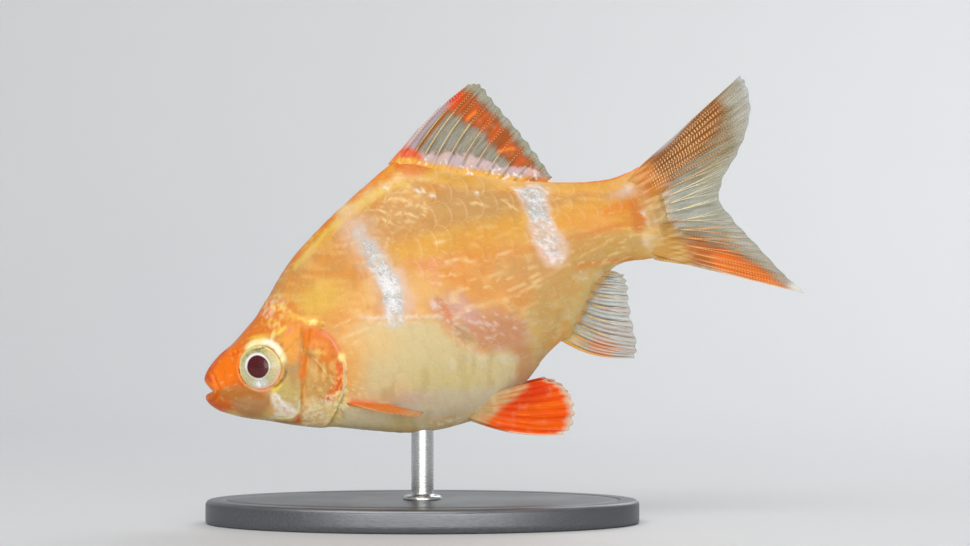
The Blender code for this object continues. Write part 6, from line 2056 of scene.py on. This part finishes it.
    # the baking map: each plate a small patch at its root's place on the unrolled skin
    root_turn = turn_at(sites[:, 0], sites[:, 2] * hermite(sites[:, 0], ROW_STEP[:, 0], ROW_STEP[:, 1]))
    u0 = 0.5 + side * root_turn / (2 * math.pi) * 0.96
    v0 = 0.02 + 0.96 * sites[:, 0] / 53.0
    u = u0[:, None, None] + 0.0015 * aa
    v = v0[:, None, None] + 0.003 * (tt - 0.5)
    uv = np.stack([u, v], -1).reshape(n, per, 2)
    uv = np.concatenate([uv, uv], axis=1).reshape(-1, 2)
    layer = obj.data.uv_layers.new(name="OFBake")
    corner = np.empty(len(obj.data.loops), np.int32)
    obj.data.loops.foreach_get("vertex_index", corner)
    layer.data.foreach_set("uv", uv[corner].astype(np.float32).ravel())
    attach(obj, "root")
    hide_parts("trunk", "tail")
    print("scales", label, len(quads) * 2, "triangles")


scale_mat = skin_material("golden_scales", True)
scales_on("left", -1)
scales_on("right", 1)


# =========================================================== display stand
BASE_X, BASE_HALF_X, BASE_HALF_Y, BASE_Z = -8.7, 23.0, 13.0, 2.5
ROD_R, ROD_TOP = 1.2, 12.6


def turned(name, profile, x, mat, half=(0.0, 0.0), segments=96, close=True):
    """A turned piece about an ellipse's outline; profile lists (offset, z) in mm."""
    profile = np.asarray(profile, float)
    a = 2 * math.pi * np.arange(segments) / segments
    pts = np.stack([
        x + (half[0] + profile[:, :1]) * np.cos(a)[None],
        (half[1] + profile[:, :1]) * np.sin(a)[None],
        np.broadcast_to(profile[:, 1:], (len(profile), segments)),
    ], -1)
    rows = len(profile)
    quads = grid_faces(rows, segments, wrap=True)
    points = pts.reshape(-1, 3)
    tris = []
    if close:
        points = np.vstack([points, pts[0].mean(0), pts[-1].mean(0)])
        k = np.arange(segments)
        lo, hi = len(points) - 2, len(points) - 1
        tris = np.vstack([
            np.stack([(k + 1) % segments, k, np.full(segments, lo)], 1),
            np.stack([(rows - 1) * segments + k, (rows - 1) * segments + (k + 1) % segments, np.full(segments, hi)], 1),
        ])
    return build_mesh(name, points * MM, quads, tris, [mat])


def arc_profile(x0, z0, r, a0, a1, n=7):
    a = np.radians(np.linspace(a0, a1, n))
    return [(x0 + r * math.cos(t), z0 + r * math.sin(t)) for t in a]


def base_material():
    n = Nodes("satin_grey_base")
    where = n.attr("at", "Vector")
    fine = n.noise(n.vec("MULTIPLY", where, (0.35, 6.0, 6.0)), 1.6, 3.0, 0.6)
    soft = n.noise(where, 0.11, 2.0)
    grain = n.noise(where, 2.4, 2.0, 0.6)
    colour = n.mix(n.range(fine, 0.3, 0.7), (0.125, 0.13, 0.14), (0.175, 0.18, 0.19))
    colour = n.mix(n.range(soft, 0.35, 0.7, 0.0, 0.5), colour, (0.15, 0.152, 0.158))
    # lighter along the rounded edge of the top
    colour = n.mix(n.attr("edge"), colour, (0.36, 0.37, 0.385))
    rough = n.math("ADD", n.range(fine, 0.2, 0.8, 0.30, 0.44), n.range(soft, 0.3, 0.7, -0.03, 0.05))
    n.set(Base_Color=colour, Roughness=rough, Metallic=0.85)
    n.set(Normal=n.bump(n.math("ADD", fine, n.math("MULTIPLY", grain, 0.5)), 0.00002, 0.35))
    return n.m


def rod_material():
    n = Nodes("steel_rod")
    where = n.attr("at", "Vector")
    rings = n.noise(n.vec("MULTIPLY", where, (0.6, 0.6, 9.0)), 1.3, 3.0, 0.65)
    blotch = n.noise(where, 0.5, 2.0)
    colour = n.mix(rings, (0.50, 0.505, 0.51), (0.68, 0.68, 0.67))
    colour = n.mix(n.range(blotch, 0.5, 0.8, 0.0, 0.35), colour, (0.55, 0.53, 0.50))
    n.set(Base_Color=colour, Roughness=n.range(rings, 0.2, 0.8, 0.20, 0.34), Metallic=1.0)
    n.set(Normal=n.bump(rings, 0.00002, 0.3))
    return n.m


base_mat, rod_mat = base_material(), rod_material()
R = 0.55
profile = [(-BASE_HALF_Y * 0.5, 0.0), (-0.6, 0.0), (-0.2, 0.03), (0.0, 0.2), (0.0, 0.8), (0.0, BASE_Z - R)]
profile += arc_profile(-R, BASE_Z - R, R, 8, 90, 9)
profile += [(-1.4, BASE_Z), (-1.9, BASE_Z), (-2.05, BASE_Z - 0.03), (-2.12, BASE_Z - 0.10), (-2.22, BASE_Z - 0.12), (-2.30, BASE_Z - 0.06),
            (-2.42, BASE_Z - 0.01), (-4.0, BASE_Z), (-8.0, BASE_Z), (-12.0, BASE_Z)]
stand_base = turned("stand_base_fine", profile, BASE_X, base_mat, (BASE_HALF_X, BASE_HALF_Y), 192)
co = np.empty(len(stand_base.data.vertices) * 3, np.float32)
stand_base.data.vertices.foreach_get("co", co)
co = co.reshape(-1, 3) * 1000
give(stand_base, "at", co)
ring = np.repeat(np.array([p[0] for p in profile]), 192)
high = np.repeat(np.array([p[1] for p in profile]), 192)
# the base is lighter along the rounded edge of its top
lighter_top_edge = np.concatenate([np.exp(-((np.hypot(ring + 0.16, high - BASE_Z + 0.16)) / 0.22) ** 2) * 0.55, [0, 0]])
give(stand_base, "edge", lighter_top_edge * (0.55 + 0.9 * (fractal(co, 2.0, 31) - 0.4)))
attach(stand_base, "root")
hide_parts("stand_base")

profile = [(2.05, BASE_Z - 0.05), (2.05, BASE_Z + 0.10)] + arc_profile(1.75, BASE_Z + 0.15, 0.30, 10, 90, 6)
profile += [(1.45, BASE_Z + 0.47)] + arc_profile(1.45, BASE_Z + 0.72, 0.25, 270, 180, 6) + [(ROD_R, BASE_Z + 1.0)]
profile += [(ROD_R, z) for z in np.linspace(BASE_Z + 1.4, ROD_TOP - 0.5, 26)] + [(ROD_R - 0.12, ROD_TOP - 0.15), (ROD_R - 0.4, ROD_TOP)]
stand_rod = turned("stand_rod_fine", profile, BASE_X, rod_mat, (0.0, 0.0), 48)
co = np.empty(len(stand_rod.data.vertices) * 3, np.float32)
stand_rod.data.vertices.foreach_get("co", co)
give(stand_rod, "at", co.reshape(-1, 3) * 1000)
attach(stand_rod, "root")
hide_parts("stand_rod")

# =========================================================== studio
def backdrop():
    """A pale floor that curves up into a pale wall."""
    prof = [(-0.60, 0.0), (0.10, 0.0), (0.16, 0.0)]
    prof += [(0.16 + 0.14 * math.sin(a), 0.14 - 0.14 * math.cos(a)) for a in np.linspace(0.1, math.pi / 2, 16)]
    prof += [(0.30, 0.5), (0.30, 0.9)]
    pts = np.array([[(x, y, z) for x in np.linspace(-0.8, 0.8, 9)] for y, z in prof])
    n = Nodes("pale_stage")
    where = n.t.nodes.new("ShaderNodeTexCoord").outputs["Object"]
    soft = n.noise(where, 9.0, 3.0)
    fine = n.noise(where, 900.0, 2.0)
    n.set(Base_Color=n.mix(soft, (0.70, 0.71, 0.72), (0.74, 0.745, 0.75)), Roughness=n.range(fine, 0.3, 0.7, 0.62, 0.72))
    obj = build_mesh("stage_backdrop", pts.reshape(-1, 3), grid_faces(len(prof), 9, flip=True), None, [n.m])


backdrop()


def soft_light(name, at, aim, size, watts, colour=(1, 1, 1)):
    data = bpy.data.lights.new(name, "AREA")
    data.shape = "RECTANGLE"
    data.size, data.size_y = size
    data.energy = watts
    data.color = colour
    obj = bpy.data.objects.new(name, data)
    obj.location = at
    obj.rotation_euler = (Vector(aim) - Vector(at)).to_track_quat("-Z", "Y").to_euler()
    bpy.context.scene.collection.objects.link(obj)


soft_light("key", (-0.10, -0.26, 0.36), (0, 0, 0.025), (0.30, 0.22), 0.78, (1.0, 0.985, 0.96))
soft_light("front_fill", (0.02, -0.42, 0.055), (0, 0, 0.022), (0.50, 0.20), 0.92, (1.0, 0.985, 0.96))
soft_light("low_fill", (-0.03, -0.30, 0.030), (-0.01, 0, 0.016), (0.30, 0.05), 0.12, (1.0, 0.985, 0.96))
soft_light("back_fill", (0.12, 0.26, 0.22), (0, 0, 0.03), (0.25, 0.20), 0.45, (0.97, 0.985, 1.0))

world = bpy.data.worlds.new("pale_world")
world.use_nodes = True
world.node_tree.nodes["Background"].inputs["Color"].default_value = (0.93, 0.96, 1.0, 1.0)
world.node_tree.nodes["Background"].inputs["Strength"].default_value = 0.40
bpy.context.scene.world = world

camera_data = bpy.data.cameras.new("camera")
camera_data.lens = 100
camera_data.sensor_width = 36
camera_data.clip_start = 0.01
camera_data.clip_end = 5
camera = bpy.data.objects.new("camera", camera_data)
camera.location = (-0.00207, -0.2859, 0.0265)
camera.rotation_euler = (math.pi / 2, 0, 0)
bpy.context.scene.collection.objects.link(camera)
bpy.context.scene.camera = camera
bpy.context.scene.view_settings.view_transform = "Standard"
bpy.context.scene.view_settings.look = "None"

bpy.context.view_layer.update()
